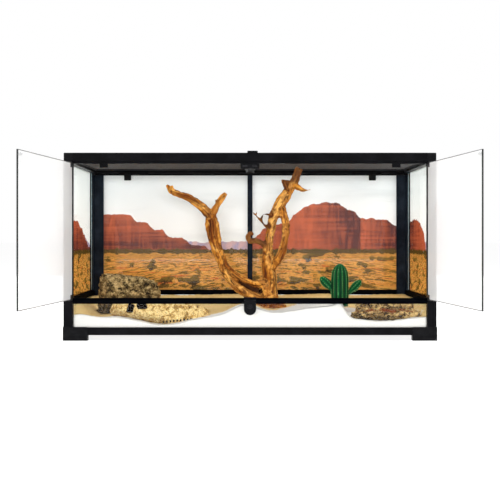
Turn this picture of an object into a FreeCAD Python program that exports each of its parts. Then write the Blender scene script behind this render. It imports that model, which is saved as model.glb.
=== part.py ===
import FreeCAD, Part
import math
import os

# Front-opening glass terrarium. Millimetres, +Z up, front at -Y. It is laid out from the middle of its
# footprint, and save() moves each piece to the row's origin.
V = FreeCAD.Vector

# Whole cabinet
width = 914.0
depth = 457.0
height = 460.5
half_w = width / 2
half_d = depth / 2

# Play between pieces
fit = 0.2
rest = 0.1
run = 0.05

# Frame sections: u is measured inward from the outer face
post_side = 22.0
web = 12.0
ledge = 22.0
base_z = 13.5
base_h = 18.8
base_ledge_h = 8.5
sill_z = 90.2
sill_h = 13.7
sill_reach = 18.0
face_h = 20.7
lip_h = 5.7
ledge_h = 7.4
side_drop = 4.8
rear_rail_h = 32.0
rear_ledge = 34.0
rear_leg = 41.0
block_x = half_w - 97.0
block_w = 20.0
block_h = 9.0
block_u = 11.0
block_t = 10.0
center_post_w = 14.0
base_top = base_z + base_h
sill_top = sill_z + sill_h
face_z = height - face_h
lip_z = face_z - lip_h
ledge_top = lip_z + ledge_h
side_z = face_z - side_drop
rear_z = height - rear_rail_h

# Feet, corner pegs and screws
foot_len = 60.0
foot_h = 33.5
foot_skin = 1.5
peg = 8.0
peg_in = 2.0
peg_len = 14.0
peg_z = height - 13.0
screw_r = 2.5
screw_head_r = 4.5
screw_head_h = 4.0
screw_sink = 3.0
screw_len = 22.0
screw_at = 6.0

# Glass and printed film
glass = 4.0
pane_in = 3.4
film = 0.9
groove = 5.0
window_bite = 2.0
floor_t = 5.0
pane_near = pane_in - fit
pane_far = pane_in + glass + fit
film_near = pane_in - film - 2 * fit
pane_bite = groove - fit

# Doors
door_mid = 4.5
door_gap = 2.0
hinge_u = 17.5
hinge_edge = 4.0
open_deg = 95.5
rebate_u = 11.0
rebate_v = 11.0
stop_v = 8.5
sill_step = 6.7
shoe_gap = 1.0
shoe_wall = 1.5
shoe_cap = 2.0
shoe_len = 16.0
shoe_h = 14.0
pin_r = 2.0
pin_len = 5.0
bush_r = 3.5
bush_len = 4.5
strike_len = 20.0
strike_h = 5.0
strike_t = 1.4
strike_drop = 6.0
step_z = sill_top - sill_step
door_z0 = step_z + shoe_gap + shoe_cap
door_z1 = face_z - shoe_gap - shoe_cap
hinge_x = half_w - hinge_u
hinge_y = -half_d + door_mid

# Row origin: on the ground, mid-width, in the plane that the closed doors rest against
datum_y = -half_d + stop_v

# Door catch under the front lip
catch_w = 46.0
catch_h = 12.0
catch_t = 8.0
magnet_w = 12.0
magnet_h = 5.0
magnet_t = 3.0

# Lock on the front sill
lock_w = 30.0
lock_z0 = 63.0
lock_t = 10.0
lock_wall = 4.5
lock_stop_h = 1.8
saddle_t = 1.3
plug_z = 83.5
plug_r = 6.0
flange_r = 7.2
flange_t = 1.2
crank_r = 4.5
crank_pin_r = 1.25
crank_pin_len = 3.2
keyway_w = 1.6
keyway_l = 7.0
bolt_w = 16.0
bolt_t = 2.4
bolt_low = 12.0
bolt_play = 0.3
bolt_gap = 1.4

# Screens and cross bar
screen_bar = 12.0
screen_h = 8.0
screen_play = 0.5
mesh_t = 1.0
mesh_bite = 5.0
mesh_nx = 12
mesh_ny = 11
mesh_rib = 2.4
bar_flange = 23.0
bar_web = 4.0
clip_x0 = -6.5
clip_w = 25.5
clip_h = 5.0
clip_leg = 2.3

# Cable gates in the rear ledge
gate_x = half_w - 110.0
gate_slot_w = 30.0
gate_slot_d = 8.0
gate_slot_u = 14.0
gate_len = 44.0
gate_t = 2.0
gate_u0 = 12.4
gate_u1 = 25.6
gate_lip = 1.8
gate_guide = 2.2
gate_travel = 34.0
tab_w = 20.0
tab_t = 3.0
tab_h = 18.0
tab_u = 17.0

# Sand: depth on the floor pane at the front glass, rise to the rear wall
sand_depth = 33.0
sand_rise = 35.0
sand_curve = 2.5
sand_gap = 0.3
sand_floor = base_z + base_ledge_h + floor_t + 2 * rest
sand_front = sand_floor + sand_depth

# Furnishings: place from the nearest walls, seat from the sand's front level
skull_x = -half_w + 106.0
skull_y = -half_d + 70.5
skull_seat = sand_front - 24.2
rock_x = -half_w + 140.0
rock_y = -half_d + 186.5
rock_seat = sand_front - 6.2
ledge_x = half_w - 120.0
ledge_y = -half_d + 68.0
ledge_seat = sand_front - 18.2
cactus_x = half_w - 219.0
cactus_y = -half_d + 228.5
cactus_seat = sand_front + 9.8
cactus_h = 113.4
cactus_r = 23.8
cactus_ribs = 12
arm_ribs = 7
branch_y = -half_d + 188.5
branch_seat = sand_front
branch_tall = 371.0
branch_head = 10.3


def box(x0, x1, y0, y1, z0, z1):
    return Part.makeBox(x1 - x0, y1 - y0, z1 - z0, V(x0, y0, z0))


def at(side, u, w, z):
    # Point on one side of the frame: u inward, w along the side
    if side == "front":
        return V(w, -half_d + u, z)
    if side == "rear":
        return V(w, half_d - u, z)
    if side == "left":
        return V(-half_w + u, w, z)
    return V(half_w - u, w, z)


def side_box(side, u0, u1, w0, w1, z0, z1):
    a = at(side, u0, w0, z0)
    b = at(side, u1, w1, z1)
    return box(min(a.x, b.x), max(a.x, b.x), min(a.y, b.y), max(a.y, b.y), z0, z1)


def prism(points, along):
    return Part.Face(Part.makePolygon(points + [points[0]])).extrude(along)


def rail(side, section, w0, w1):
    points = [at(side, u, w0, z) for u, z in section]
    return prism(points, at(side, 0, w1, 0) - at(side, 0, w0, 0))


def corner(sx, sy, u, v, z):
    # Point at one corner of the frame: u and v inward from the two outer faces
    return V(sx * (half_w - u), sy * (half_d - v), z)


def corner_box(sx, sy, u0, u1, v0, v1, z0, z1):
    a = corner(sx, sy, u0, v0, z0)
    b = corner(sx, sy, u1, v1, z1)
    return box(min(a.x, b.x), max(a.x, b.x), min(a.y, b.y), max(a.y, b.y), z0, z1)


def column(sx, sy, outline, z0, z1):
    return prism([corner(sx, sy, u, v, z0) for u, v in outline], V(0, 0, z1 - z0))


def rod(x, y, z0, z1, r):
    return Part.makeCylinder(r, z1 - z0, V(x, y, z0))


def cut_all(shape, tools):
    for tool in tools:
        shape = shape.cut(tool)
    return shape


def save(name, *shapes):
    shape = shapes[0] if len(shapes) == 1 else Part.makeCompound(list(shapes))
    moved = shape.copy()
    moved.translate(V(0, -datum_y, 0))
    moved.exportStep("parts/" + name + ".step")


SIDES = ("front", "rear", "left", "right")
CORNERS = {"front_left": (-1, -1), "front_right": (1, -1), "rear_left": (-1, 1), "rear_right": (1, 1)}


def run_of(side, level):
    # End of a rail, measured from the middle of its side
    if side in ("left", "right"):
        return half_d - post_side - fit
    if side == "rear" and level != "top":
        return half_w - rear_leg - fit
    return half_w - post_side - fit


def base_rail(side):
    section = [(0, base_z), (ledge, base_z), (ledge, base_z + base_ledge_h), (web, base_z + base_ledge_h),
               (web, base_top), (pane_far, base_top), (pane_far, base_top - groove),
               (pane_near, base_top - groove), (pane_near, base_top), (0, base_top)]
    end = run_of(side, "base")
    return rail(side, section, -end, end)


def sill_rail(side):
    # Lower groove for the short pane, upper groove for the tall pane; the front is stepped for the doors
    up = sill_z + (window_bite + fit if side == "front" else groove)
    lower = [(0, sill_z), (pane_near, sill_z), (pane_near, up), (pane_far, up), (pane_far, sill_z),
             (sill_reach, sill_z)]
    if side == "front":
        upper = [(sill_reach, sill_top), (stop_v, sill_top), (stop_v, step_z), (0, step_z)]
    else:
        upper = [(sill_reach, sill_top), (pane_far, sill_top), (pane_far, sill_top - groove),
                 (film_near, sill_top - groove), (film_near, sill_top), (0, sill_top)]
    end = run_of(side, "sill")
    return rail(side, lower + upper, -end, end)


def top_rail(side):
    if side == "front":
        low = [(0, face_z), (stop_v, face_z), (stop_v, lip_z), (ledge, lip_z), (ledge, ledge_top)]
    elif side == "rear":
        low = [(0, rear_z), (film_near, rear_z), (film_near, rear_z + groove),
               (pane_far, rear_z + groove), (pane_far, rear_z), (web, rear_z), (web, lip_z),
               (rear_ledge, lip_z), (rear_ledge, ledge_top)]
    else:
        low = [(0, side_z), (film_near, side_z), (film_near, side_z + groove),
               (pane_far, side_z + groove), (pane_far, side_z), (ledge, side_z), (ledge, ledge_top)]
    end = run_of(side, "top")
    shape = rail(side, low + [(web, ledge_top), (web, height), (0, height)], -end, end)
    for sign in (-1, 1):
        if side == "front":
            # Small block moulded under the lip near each end
            x = sign * block_x
            block = side_box(side, block_u, block_u + block_t, x - block_w / 2, x + block_w / 2,
                             lip_z - block_h, lip_z + 1)
            shape = shape.fuse(block).removeSplitter()
        socket = side_box(side, peg_in - fit, peg_in + peg + fit, sign * (end - peg_len),
                          sign * (end + 1), peg_z - fit, peg_z + peg + fit)
        shape = shape.cut(socket)
    return shape


def front_post(sx):
    # Square post, stepped above the sill so that the door's hinge edge turns inside it
    shape = corner_box(sx, -1, 0, post_side, 0, post_side, base_z, face_z)
    side_groove = corner_box(sx, -1, film_near, pane_far, post_side - groove, post_side + 1,
                             base_top - groove, face_z)
    window_groove = corner_box(sx, -1, post_side - groove, post_side + 1, pane_near, pane_far,
                               base_top - groove, sill_z + window_bite + fit)
    rebate = corner_box(sx, -1, rebate_u, post_side + 1, -1, rebate_v, step_z, face_z + 1)
    bush_hole = rod(sx * hinge_x, hinge_y, step_z - bush_len - rest, step_z + 1, bush_r + run)
    return cut_all(shape, [side_groove, window_groove, rebate, bush_hole])


def rear_post(sx):
    # Angle section: the long leg lies over the rear pane's edge
    outline = [(0, 0), (rear_leg, 0), (rear_leg, film_near), (rear_leg - groove, film_near),
               (rear_leg - groove, pane_far), (rear_leg, pane_far), (rear_leg, web), (web, web),
               (web, post_side), (pane_far, post_side), (pane_far, post_side - groove),
               (film_near, post_side - groove), (film_near, post_side), (0, post_side)]
    return column(sx, 1, outline, base_z, rear_z)


def post(name):
    sx, sy = CORNERS[name]
    shape = front_post(sx) if sy < 0 else rear_post(sx)
    top = face_z if sy < 0 else rear_z
    socket = corner_box(sx, sy, peg_in - fit, peg_in + peg + fit, peg_in - fit, peg_in + peg + fit,
                        top - peg_len - fit, top + 1)
    at_screw = corner(sx, sy, screw_at, screw_at, 0)
    screw_end = screw_sink + screw_head_h + screw_len
    thread = rod(at_screw.x, at_screw.y, base_z - 1, screw_end + rest, screw_r + run)
    return cut_all(shape, [socket, thread])


def center_post():
    inner = half_d - pane_far
    outer = half_d - sill_reach
    return box(-center_post_w / 2, center_post_w / 2, outer, inner, sill_top + rest, rear_z - rest)


def foot(name):
    # Shoe under the post and both rail ends, with a thin skin round the outside
    sx, sy = CORNERS[name]
    near = -foot_skin
    far = foot_len - foot_skin
    deep = post_side + foot_skin
    plate_top = base_z - rest
    plate = corner_box(sx, sy, near, far, near, deep, 0, plate_top)
    plate = plate.fuse(corner_box(sx, sy, near, deep, near, far, 0, plate_top))
    skins = [corner_box(sx, sy, near, far, near, -rest, 0, foot_h),
             corner_box(sx, sy, near, -rest, near, far, 0, foot_h)]
    shape = plate.fuse(skins).removeSplitter()
    edges = [e for e in shape.Edges if abs(e.Length - foot_h) < 0.01]
    outer = corner(sx, sy, near, near, 0)
    round_edges = [e for e in edges if (V(e.CenterOfMass.x, e.CenterOfMass.y, 0) - outer).Length < 0.1]
    shape = shape.makeFillet(foot_skin * 0.8, round_edges)
    p = corner(sx, sy, screw_at, screw_at, 0)
    head = rod(p.x, p.y, -1, screw_sink + screw_head_h, screw_head_r + fit)
    shank = rod(p.x, p.y, 0, base_z, screw_r + fit)
    return cut_all(shape, [head, shank])


def corner_screw(name):
    sx, sy = CORNERS[name]
    p = corner(sx, sy, screw_at, screw_at, 0)
    head_top = screw_sink + screw_head_h
    head = rod(p.x, p.y, screw_sink, head_top, screw_head_r)
    shank = rod(p.x, p.y, head_top, head_top + screw_len, screw_r)
    drive = Part.makeBox(1.6, 7, 2, V(p.x - 0.8, p.y - 3.5, screw_sink - 0.5))
    return head.fuse(shank).removeSplitter().cut(drive)


def top_corner(name):
    # Three-way block: one peg down into the post, one into each top rail
    sx, sy = CORNERS[name]
    low = face_z if sy < 0 else rear_z
    shape = corner_box(sx, sy, 0, post_side, 0, post_side, low + rest, height)
    outer = corner(sx, sy, 0, 0, 0)
    edges = [e for e in upright_edges(shape)
             if (V(e.CenterOfMass.x, e.CenterOfMass.y, 0) - outer).Length < 0.1]
    shape = shape.makeFillet(4.0, edges)
    top_edges = [e for e in shape.Edges if abs(e.CenterOfMass.z - height) < 0.01]
    top_edges = [e for e in top_edges if corner_reach(sx, sy, e.CenterOfMass) < post_side - 1]
    shape = shape.makeChamfer(0.8, top_edges)
    end = post_side + peg_len - 2
    pegs = [corner_box(sx, sy, peg_in, peg_in + peg, peg_in, peg_in + peg, low - peg_len + 1, low + 2),
            corner_box(sx, sy, post_side - 2, end, peg_in, peg_in + peg, peg_z, peg_z + peg),
            corner_box(sx, sy, peg_in, peg_in + peg, post_side - 2, end, peg_z, peg_z + peg)]
    shape = shape.fuse(pegs).removeSplitter()
    if sy < 0:
        hole = rod(sx * hinge_x, hinge_y, face_z - 1, face_z + rest + bush_len + rest, bush_r + run)
    else:
        hole = corner_box(sx, 1, film_near, pane_far, post_side - groove, post_side + 1, low - 1,
                          side_z + groove)
    recess = corner_box(sx, sy, web, post_side + 1, web, post_side + 1, ledge_top, height + 1)
    return cut_all(shape, [hole, recess])


def upright_edges(shape):
    return [e for e in shape.Edges if abs(e.tangentAt(e.FirstParameter).z) > 0.9]


def deep_edges(shape):
    # Edges that run front to rear
    return [e for e in shape.Edges if abs(e.tangentAt(e.FirstParameter).y) > 0.9]


def corner_reach(sx, sy, point):
    # How far a point lies from the two outer faces, as the larger of the two
    return max(half_w - sx * point.x, half_d - sy * point.y)


def pane(side, u0, u1, end, z0, z1):
    return side_box(side, u0, u1, -end, end, z0, z1)


def pane_end(side):
    if side == "front":
        return half_w - post_side + pane_bite
    if side == "rear":
        return half_w - rear_leg + pane_bite
    return half_d - post_side + pane_bite


def lower_pane(side):
    bite = window_bite if side == "front" else pane_bite
    return pane(side, pane_in, pane_in + glass, pane_end(side), base_top - pane_bite, sill_z + bite)


def tall_top(side):
    return (rear_z if side == "rear" else side_z) + pane_bite


def upper_pane(side):
    return pane(side, pane_in, pane_in + glass, pane_end(side), sill_top - pane_bite, tall_top(side))


def backdrop(side):
    # Printed film lying on the outside of the tall pane
    u1 = pane_in - rest
    return pane(side, u1 - film, u1, pane_end(side), sill_top - pane_bite, tall_top(side))


def floor_pane():
    u = web + sand_gap
    z = base_z + base_ledge_h + rest
    shape = box(-half_w + u, half_w - u, -half_d + u, half_d - u, z, z + floor_t)
    grow = post_side + sand_gap
    return cut_all(shape, [corner_box(sx, sy, 0, grow, 0, grow, z - 1, z + floor_t + 1)
                           for sx, sy in CORNERS.values()])


def cross_bar():
    # T section between the screens, its web resting on the front and rear ledges
    y0 = -half_d + ledge + fit
    y1 = half_d - rear_ledge - fit
    flange = box(-bar_flange / 2, bar_flange / 2, y0, y1, lip_z, ledge_top)
    upright = box(-bar_web / 2, bar_web / 2, -half_d + web + fit, half_d - web - fit,
                  ledge_top + rest, ledge_top + screen_h)
    joint = box(-bar_web / 2, bar_web / 2, y0, y1, lip_z, ledge_top + screen_h)
    return flange.fuse([upright, joint]).removeSplitter()


def cross_bar_clip(side):
    # Saddle on top of the rail with a leg that holds the bar's web down
    z = height + rest
    reach = web + fit + clip_leg
    plate = side_box(side, peg_in, reach, clip_x0, clip_x0 + clip_w, z, z + clip_h)
    plate = plate.makeFillet(1.5, [e for e in deep_edges(plate) if e.CenterOfMass.z > z + 1])
    cut_back = [side_box(side, web, reach + 1, clip_x0 - 1, -bar_web / 2, z - 1, z + clip_h + 1),
                side_box(side, web, reach + 1, bar_web / 2, clip_x0 + clip_w + 1, z - 1, z + clip_h + 1)]
    leg = side_box(side, web + fit, reach, -bar_web / 2, bar_web / 2, ledge_top + screen_h + rest,
                   z + clip_h / 2)
    return cut_all(plate, cut_back).fuse(leg).removeSplitter()


def screen_bounds(sx):
    x0 = bar_web / 2 + screen_play
    x1 = half_w - web - screen_play
    y0 = -half_d + web + screen_play
    y1 = half_d - (gate_slot_u + gate_slot_d) - screen_play - 2
    xs = (x0, x1) if sx > 0 else (-x1, -x0)
    return xs + (y0, y1)


def screen_frame(sx):
    x0, x1, y0, y1 = screen_bounds(sx)
    z = ledge_top + rest
    b = screen_bar
    bite = mesh_bite + fit
    outer = box(x0, x1, y0, y1, z, z + screen_h)
    inner = box(x0 + b, x1 - b, y0 + b, y1 - b, z - 1, z + screen_h + 1)
    mid = z + screen_h / 2
    channel = box(x0 + b - bite, x1 - b + bite, y0 + b - bite, y1 - b + bite,
                  mid - mesh_t / 2 - rest, mid + mesh_t / 2 + rest)
    return cut_all(outer, [inner, channel])


def screen_mesh(sx):
    x0, x1, y0, y1 = screen_bounds(sx)
    mid = ledge_top + rest + screen_h / 2
    e = screen_bar - mesh_bite
    plate = box(x0 + e, x1 - e, y0 + e, y1 - e, mid - mesh_t / 2, mid + mesh_t / 2)
    ax, ay = x0 + screen_bar, y0 + screen_bar
    px = (x1 - x0 - 2 * screen_bar) / mesh_nx
    py = (y1 - y0 - 2 * screen_bar) / mesh_ny
    holes = []
    for i in range(mesh_nx):
        for j in range(mesh_ny):
            hx, hy = ax + i * px + mesh_rib / 2, ay + j * py + mesh_rib / 2
            holes.append(box(hx, hx + px - mesh_rib, hy, hy + py - mesh_rib, mid - mesh_t, mid + mesh_t))
    return plate.cut(Part.makeCompound(holes))


def gate_guides(sx):
    # Slot through the rear ledge, and the two lips under it that carry the gate
    a = sx * gate_x
    x0 = min(a, a - sx * gate_travel) - gate_len / 2 - 2
    x1 = max(a, a - sx * gate_travel) + gate_len / 2 + 2
    under = lip_z - rest - gate_t - fit
    slot = side_box("rear", gate_slot_u, gate_slot_u + gate_slot_d, a - gate_slot_w / 2,
                    a + gate_slot_w / 2, lip_z - 1, ledge_top + 1)
    inner = side_box("rear", web - 0.5, web + gate_guide, x0, x1, under - gate_lip, under)
    far = side_box("rear", gate_u1 + fit, gate_u1 + fit + gate_guide, x0, x1, under - gate_lip, lip_z + 1)
    toe = side_box("rear", gate_u1 - gate_guide + fit, gate_u1 + fit + 1, x0, x1, under - gate_lip, under)
    return slot, [inner, far, toe]


def rear_top_rail():
    shape = top_rail("rear")
    for sx in (-1, 1):
        slot, lips = gate_guides(sx)
        shape = shape.cut(slot).fuse(lips).removeSplitter()
    return shape


def cable_gate(sx):
    a = sx * gate_x
    z1 = lip_z - rest
    plate = side_box("rear", gate_u0, gate_u1, a - gate_len / 2, a + gate_len / 2, z1 - gate_t, z1)
    tab = side_box("rear", tab_u, tab_u + tab_t, a - tab_w / 2, a + tab_w / 2, z1 - gate_t - tab_h,
                   z1 - gate_t / 2)
    edges = [e for e in deep_edges(tab) if e.CenterOfMass.z < z1 - tab_h]
    return plate.fuse(tab.makeFillet(2.5, edges)).removeSplitter()


def door_turn(shape, sx):
    # Swing a closed door to the photographed opening
    shape = shape.copy()
    shape.rotate(V(sx * hinge_x, hinge_y, 0), V(0, 0, 1), sx * open_deg)
    return shape


def door_span(sx, a, b, v0, v1, z0, z1):
    # Box on the closed door: a and b are distances from the cabinet's middle
    return box(min(sx * a, sx * b), max(sx * a, sx * b), -half_d + v0, -half_d + v1, z0, z1)


def door_pane(sx):
    return door_turn(door_span(sx, door_gap / 2, hinge_x + hinge_edge, door_mid - glass / 2,
                               door_mid + glass / 2, door_z0, door_z1), sx)


def shoe(sx, up):
    # Clip on the hinge corner of the pane, with the pivot pin
    end = hinge_x + hinge_edge
    wall = glass / 2 + shoe_wall
    z_edge = door_z1 if up > 0 else door_z0
    lo, hi = sorted((z_edge + up * shoe_cap, z_edge - up * (shoe_h - shoe_cap)))
    body = door_span(sx, end - shoe_len, end + 0.5, door_mid - wall, door_mid + wall, lo, hi)
    lo, hi = sorted((z_edge + up * rest, z_edge - up * shoe_h))
    pocket = door_span(sx, end - shoe_len - 1, end + rest, door_mid - glass / 2 - rest / 2,
                       door_mid + glass / 2 + rest / 2, lo, hi)
    tip = z_edge + up * (shoe_cap + pin_len)
    lo, hi = sorted((z_edge + up * (shoe_cap - 0.5), tip))
    return body.cut(pocket).fuse(rod(sx * hinge_x, hinge_y, lo, hi, pin_r)).removeSplitter()


def strike(sx):
    z1 = door_z1 - strike_drop
    v = door_mid + glass / 2 + rest
    a = door_gap / 2 + 1
    return door_span(sx, a, a + strike_len, v, v + strike_t, z1 - strike_h, z1)


def door_fittings(sx):
    return [door_turn(s, sx) for s in (shoe(sx, -1), shoe(sx, 1), strike(sx))]


def bush(sx, up):
    if up > 0:
        z0 = face_z + rest + rest
    else:
        z0 = step_z - bush_len
    x = sx * hinge_x
    bore = rod(x, hinge_y, z0 - 1, z0 + bush_len + 1, pin_r + run)
    return rod(x, hinge_y, z0, z0 + bush_len, bush_r).cut(bore)


def catch_magnet(sx):
    a = door_gap / 2 + 1 + strike_len / 2
    zc = door_z1 - strike_drop - strike_h / 2
    return door_span(sx, a - magnet_w / 2, a + magnet_w / 2, stop_v, stop_v + magnet_t, zc - magnet_h / 2,
                     zc + magnet_h / 2)


def door_catch():
    # Block under the lip that holds one magnet for each door
    z1 = lip_z - rest
    shape = box(-catch_w / 2, catch_w / 2, -half_d + stop_v, -half_d + stop_v + catch_t, z1 - catch_h, z1)
    for sx in (-1, 1):
        a = door_gap / 2 + 1 + strike_len / 2
        zc = door_z1 - strike_drop - strike_h / 2
        half_x, half_z = magnet_w / 2 + rest, magnet_h / 2 + rest
        shape = shape.cut(door_span(sx, a - half_x, a + half_x, stop_v - 1, stop_v + magnet_t + rest,
                                    zc - half_z, zc + half_z))
    return shape


def y_disc(r, x, z, u0, u1):
    # Disc facing the front, u measured back from the cabinet's front face
    return Part.makeCylinder(r, u1 - u0, V(x, -half_d + u0, z), V(0, 1, 0))


def lock_housing():
    # Rounded shell on the sill's front face, with a saddle over the sill that stops the closed doors
    r = lock_w / 2
    top = door_z0 - shoe_gap
    body = box(-r, r, -half_d - lock_t, -half_d - rest, lock_z0 + r, top)
    body = body.fuse(y_disc(r, 0, lock_z0 + r, -lock_t, -rest)).removeSplitter()
    rim = [e for e in body.Edges if abs(e.CenterOfMass.y - (-half_d - lock_t)) < 0.01]
    body = body.makeFillet(1.5, rim)
    neck_z = step_z + rest
    hook_z = sill_top + lock_stop_h
    saddle = [box(-r, r, -half_d - 1, -half_d + stop_v - rest, neck_z, top),
              box(-r, r, -half_d + stop_v - saddle_t, -half_d + stop_v - rest, neck_z, hook_z),
              box(-r, r, -half_d + stop_v - saddle_t, -half_d + sill_reach - 2, sill_top + rest, hook_z)]
    body = body.fuse(saddle).removeSplitter()
    half = bolt_w / 2 + bolt_play
    back = -half_d - lock_t + lock_wall
    pocket = box(-half, half, back, -half_d, plug_z - bolt_low - 2, neck_z - rest)
    chute = box(-half, half, back, back + rest + flange_t + 0.5 + bolt_t + bolt_play, plug_z, top + 1)
    return cut_all(body, [pocket, chute, y_disc(plug_r + run, 0, plug_z, -lock_t - 1, 0)])


def lock_plug():
    # Round key plug with a crank pin behind its flange
    front = -lock_t - 0.4
    back = -lock_t + lock_wall
    shape = y_disc(plug_r, 0, plug_z, front, back + rest)
    shape = shape.fuse(y_disc(flange_r, 0, plug_z, back + rest, back + rest + flange_t))
    a = math.radians(-45)
    px, pz = crank_r * math.cos(a), plug_z + crank_r * math.sin(a)
    z_end = back + rest + flange_t + crank_pin_len
    shape = shape.fuse(y_disc(crank_pin_r, px, pz, back + rest + flange_t - 0.4, z_end)).removeSplitter()
    slot = box(-keyway_w / 2, keyway_w / 2, -half_d + front - 1, -half_d + front + 3,
               plug_z - keyway_l / 2, plug_z + keyway_l / 2)
    return shape.cut(slot)


def lock_bolt():
    # Flat bolt with a cross slot for the crank pin; it rises in front of the closed doors
    back = -lock_t + lock_wall + rest + flange_t + 0.5
    top = step_z - bolt_gap
    shape = box(-bolt_w / 2, bolt_w / 2, -half_d + back, -half_d + back + bolt_t, plug_z - bolt_low, top)
    pin_z = plug_z - crank_r * math.sin(math.radians(45))
    r = crank_pin_r + bolt_play
    slot = box(1.2, crank_r + r + 0.4, -half_d + back - 1, -half_d + back + bolt_t + 1, pin_z - r, pin_z + r)
    return shape.cut(slot)


def dunes():
    # Humps and hollows of the sand along the front glass: place, rise, spread to the left and to the right
    return [(skull_x + 138, -22, 75, 75), (-12, 26, 45, 45), (ledge_x - 115, 26.5, 150, 15),
            (ledge_x - 17, -12, 80, 80)]


def sand_height(x, y):
    t = (y + half_d) / depth
    front = sand_front
    for x0, rise, left, right in dunes():
        front += rise * math.exp(-((x - x0) / (left if x < x0 else right)) ** 2)
    ripple = t * (1.6 * math.sin(x / 95 + 0.6) * math.cos(y / 70) + math.sin(x / 41 + y / 55))
    hollow = 4 * math.exp(-((x - 47) / 90) ** 2 - ((y - branch_y) / 90) ** 2)
    return front + (sand_front + sand_rise - front) * t ** sand_curve + ripple - hollow


def sand_bed(keep_out):
    # One smooth surface through the height formula, drawn down to the floor pane
    u = pane_in + glass + sand_gap
    columns, rows = 64, 10
    grid = []
    for i in range(columns):
        x = -half_w + u + (width - 2 * u) * i / (columns - 1)
        ys = [-half_d + u + (depth - 2 * u) * j / (rows - 1) for j in range(rows)]
        grid.append([V(x, y, sand_height(x, y)) for y in ys])
    surface = Part.BSplineSurface()
    surface.interpolate(grid)
    shape = surface.toShape().extrude(V(0, 0, -height))
    below = box(-half_w, half_w, -half_d, half_d, -height, sand_floor)
    return cut_all(shape, [below] + keep_out)


def frame_keep_out():
    # Room for the frame inside the sand
    g = sand_gap
    tools = []
    for side in SIDES:
        end = half_w if side in ("front", "rear") else half_d
        tools.append(side_box(side, -1, web + g, -end, end, 0, base_top + g))
        tools.append(side_box(side, -1, sill_reach + g, -end, end, sill_z - g, height))
    grow = post_side + g
    for sx, sy in CORNERS.values():
        tools.append(corner_box(sx, sy, -1, grow, -1, grow, 0, height))
        if sy > 0:
            tools.append(corner_box(sx, sy, -1, rear_leg + g, -1, web + g, 0, height))
    return tools


def along(points, per_gap):
    # Extra places between the given ones, along a smooth curve, each with its way along the path
    ends = [V(x, y, z) for x, y, z, r in points]
    knots = [0.0]
    for a, b in zip(ends, ends[1:]):
        knots.append(knots[-1] + (b - a).Length)
    curve = Part.BSplineCurve()
    curve.interpolate(Points=ends, Parameters=knots)
    out = []
    for i in range((len(points) - 1) * per_gap + 1):
        k = min(i // per_gap, len(points) - 2)
        f = i / per_gap - k
        t = knots[k] + f * (knots[k + 1] - knots[k])
        r = points[k][3] + f * (points[k + 1][3] - points[k][3])
        out.append((curve.value(t), curve.tangent(t)[0], r))
    return out


def ring(center, way, r, n, ribs=0):
    # Outline square to the path: round, or lobed where ribs are asked for
    e1 = way.cross(V(0, 1, 0)).normalize()
    e2 = way.cross(e1).normalize()
    points = []
    for i in range(n):
        a = 2 * math.pi * i / n
        p = r * (1 - 0.07 * (1 + math.cos(ribs * a))) if ribs else r
        points.append(center + e1 * (p * math.cos(a)) + e2 * (p * math.sin(a)))
    return points


def skin(rings):
    # Closed solid of flat facets through rings of points
    n = len(rings[0])
    tris = []
    for lower, upper in zip(rings, rings[1:]):
        for i in range(n):
            j = (i + 1) % n
            tris.append((lower[i], lower[j], upper[j]))
            tris.append((lower[i], upper[j], upper[i]))
    loops = [list(t) for t in tris] + [rings[0], rings[-1]]
    faces = [Part.Face(Part.makePolygon(loop + [loop[0]])) for loop in loops]
    solid = Part.makeSolid(Part.makeShell(faces))
    if solid.Volume < 0:
        solid.reverse()
    return solid


def limb(points, per_gap=2, n=10, ribs=0):
    return skin([ring(c, way, r, n, ribs) for c, way, r in along(points, per_gap)])


# Driftwood limbs: x from mid-width, y from the foot's middle, z from the seat, then the radius
trunk = [(47, 0, -20, 31), (47, 0, 18, 29), (47, 0, 41, 25), (50, -1, 74, 19.6), (49, -2, 108, 18),
         (47, -3, 141, 15.7), (48, -5, 168, 12), (52, -8, 201, 12.8), (57, -12, 228, 13),
         (65, -16, 254, 13.6), (78, -21, 278, 16), (94, -26, 305, 13.6), (110, -31, 331, 12.5),
         (120, -34, 351, 12), (128, -37, 371, 10.5)]
right_limb = [(56, -1, 114, 11.8), (75, 2, 138, 12), (86, 2, 164, 12), (92, -2, 194, 11),
              (94, -8, 221, 10.5), (89, -14, 244, 10.5), (82, -20, 268, 11.8)]
top_stub = [(102, -29, 312, 10.5), (92, -26, 334, 10), (92, -26, 342, 9.4)]
right_twig = [(112, -31, 331, 7.3), (126, -36, 321, 6.8), (140.5, -40, 314, 5), (157, -42, 316, 1.6)]
left_twig = [(46, -10, 212, 3.1), (27, -16, 238, 2.9), (15, -18, 249, 2.4), (8, -20, 258, 1.6)]
loop_twig = [(60, -15, 250, 3), (37, -15, 253, 2.8), (30, -15, 241, 2.8), (34, -15, 228, 2.8),
             (50, -12, 222, 3)]
left_stub = [(44, -5, 166, 9.4), (30, -10, 178, 8.6), (15, -14, 184, 8.4), (0, -16, 184, 7.9),
             (-4, -16, 194, 6.8), (2, -16, 203, 6), (10, -16, 199, 4)]
left_limb = [(30, -2, 31, 15.7), (7, -2, 41, 15.7), (-13, -4, 51, 14.4), (-40, -6, 71, 13),
             (-63, -9, 101, 12), (-75, -12, 134, 13.6), (-88, -15, 168, 16.2), (-95, -18, 201, 18.8),
             (-97, -20, 228, 18.3), (-100, -22, 254, 14.4)]
strand = [(-72, -11, 134, 9), (-62, -12, 118, 8.2), (-45, -14, 102, 8), (-27, -14, 88, 8), (-1, -12, 76, 8),
          (20, -8, 72, 9.5), (38, -4, 73, 11.8)]
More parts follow.
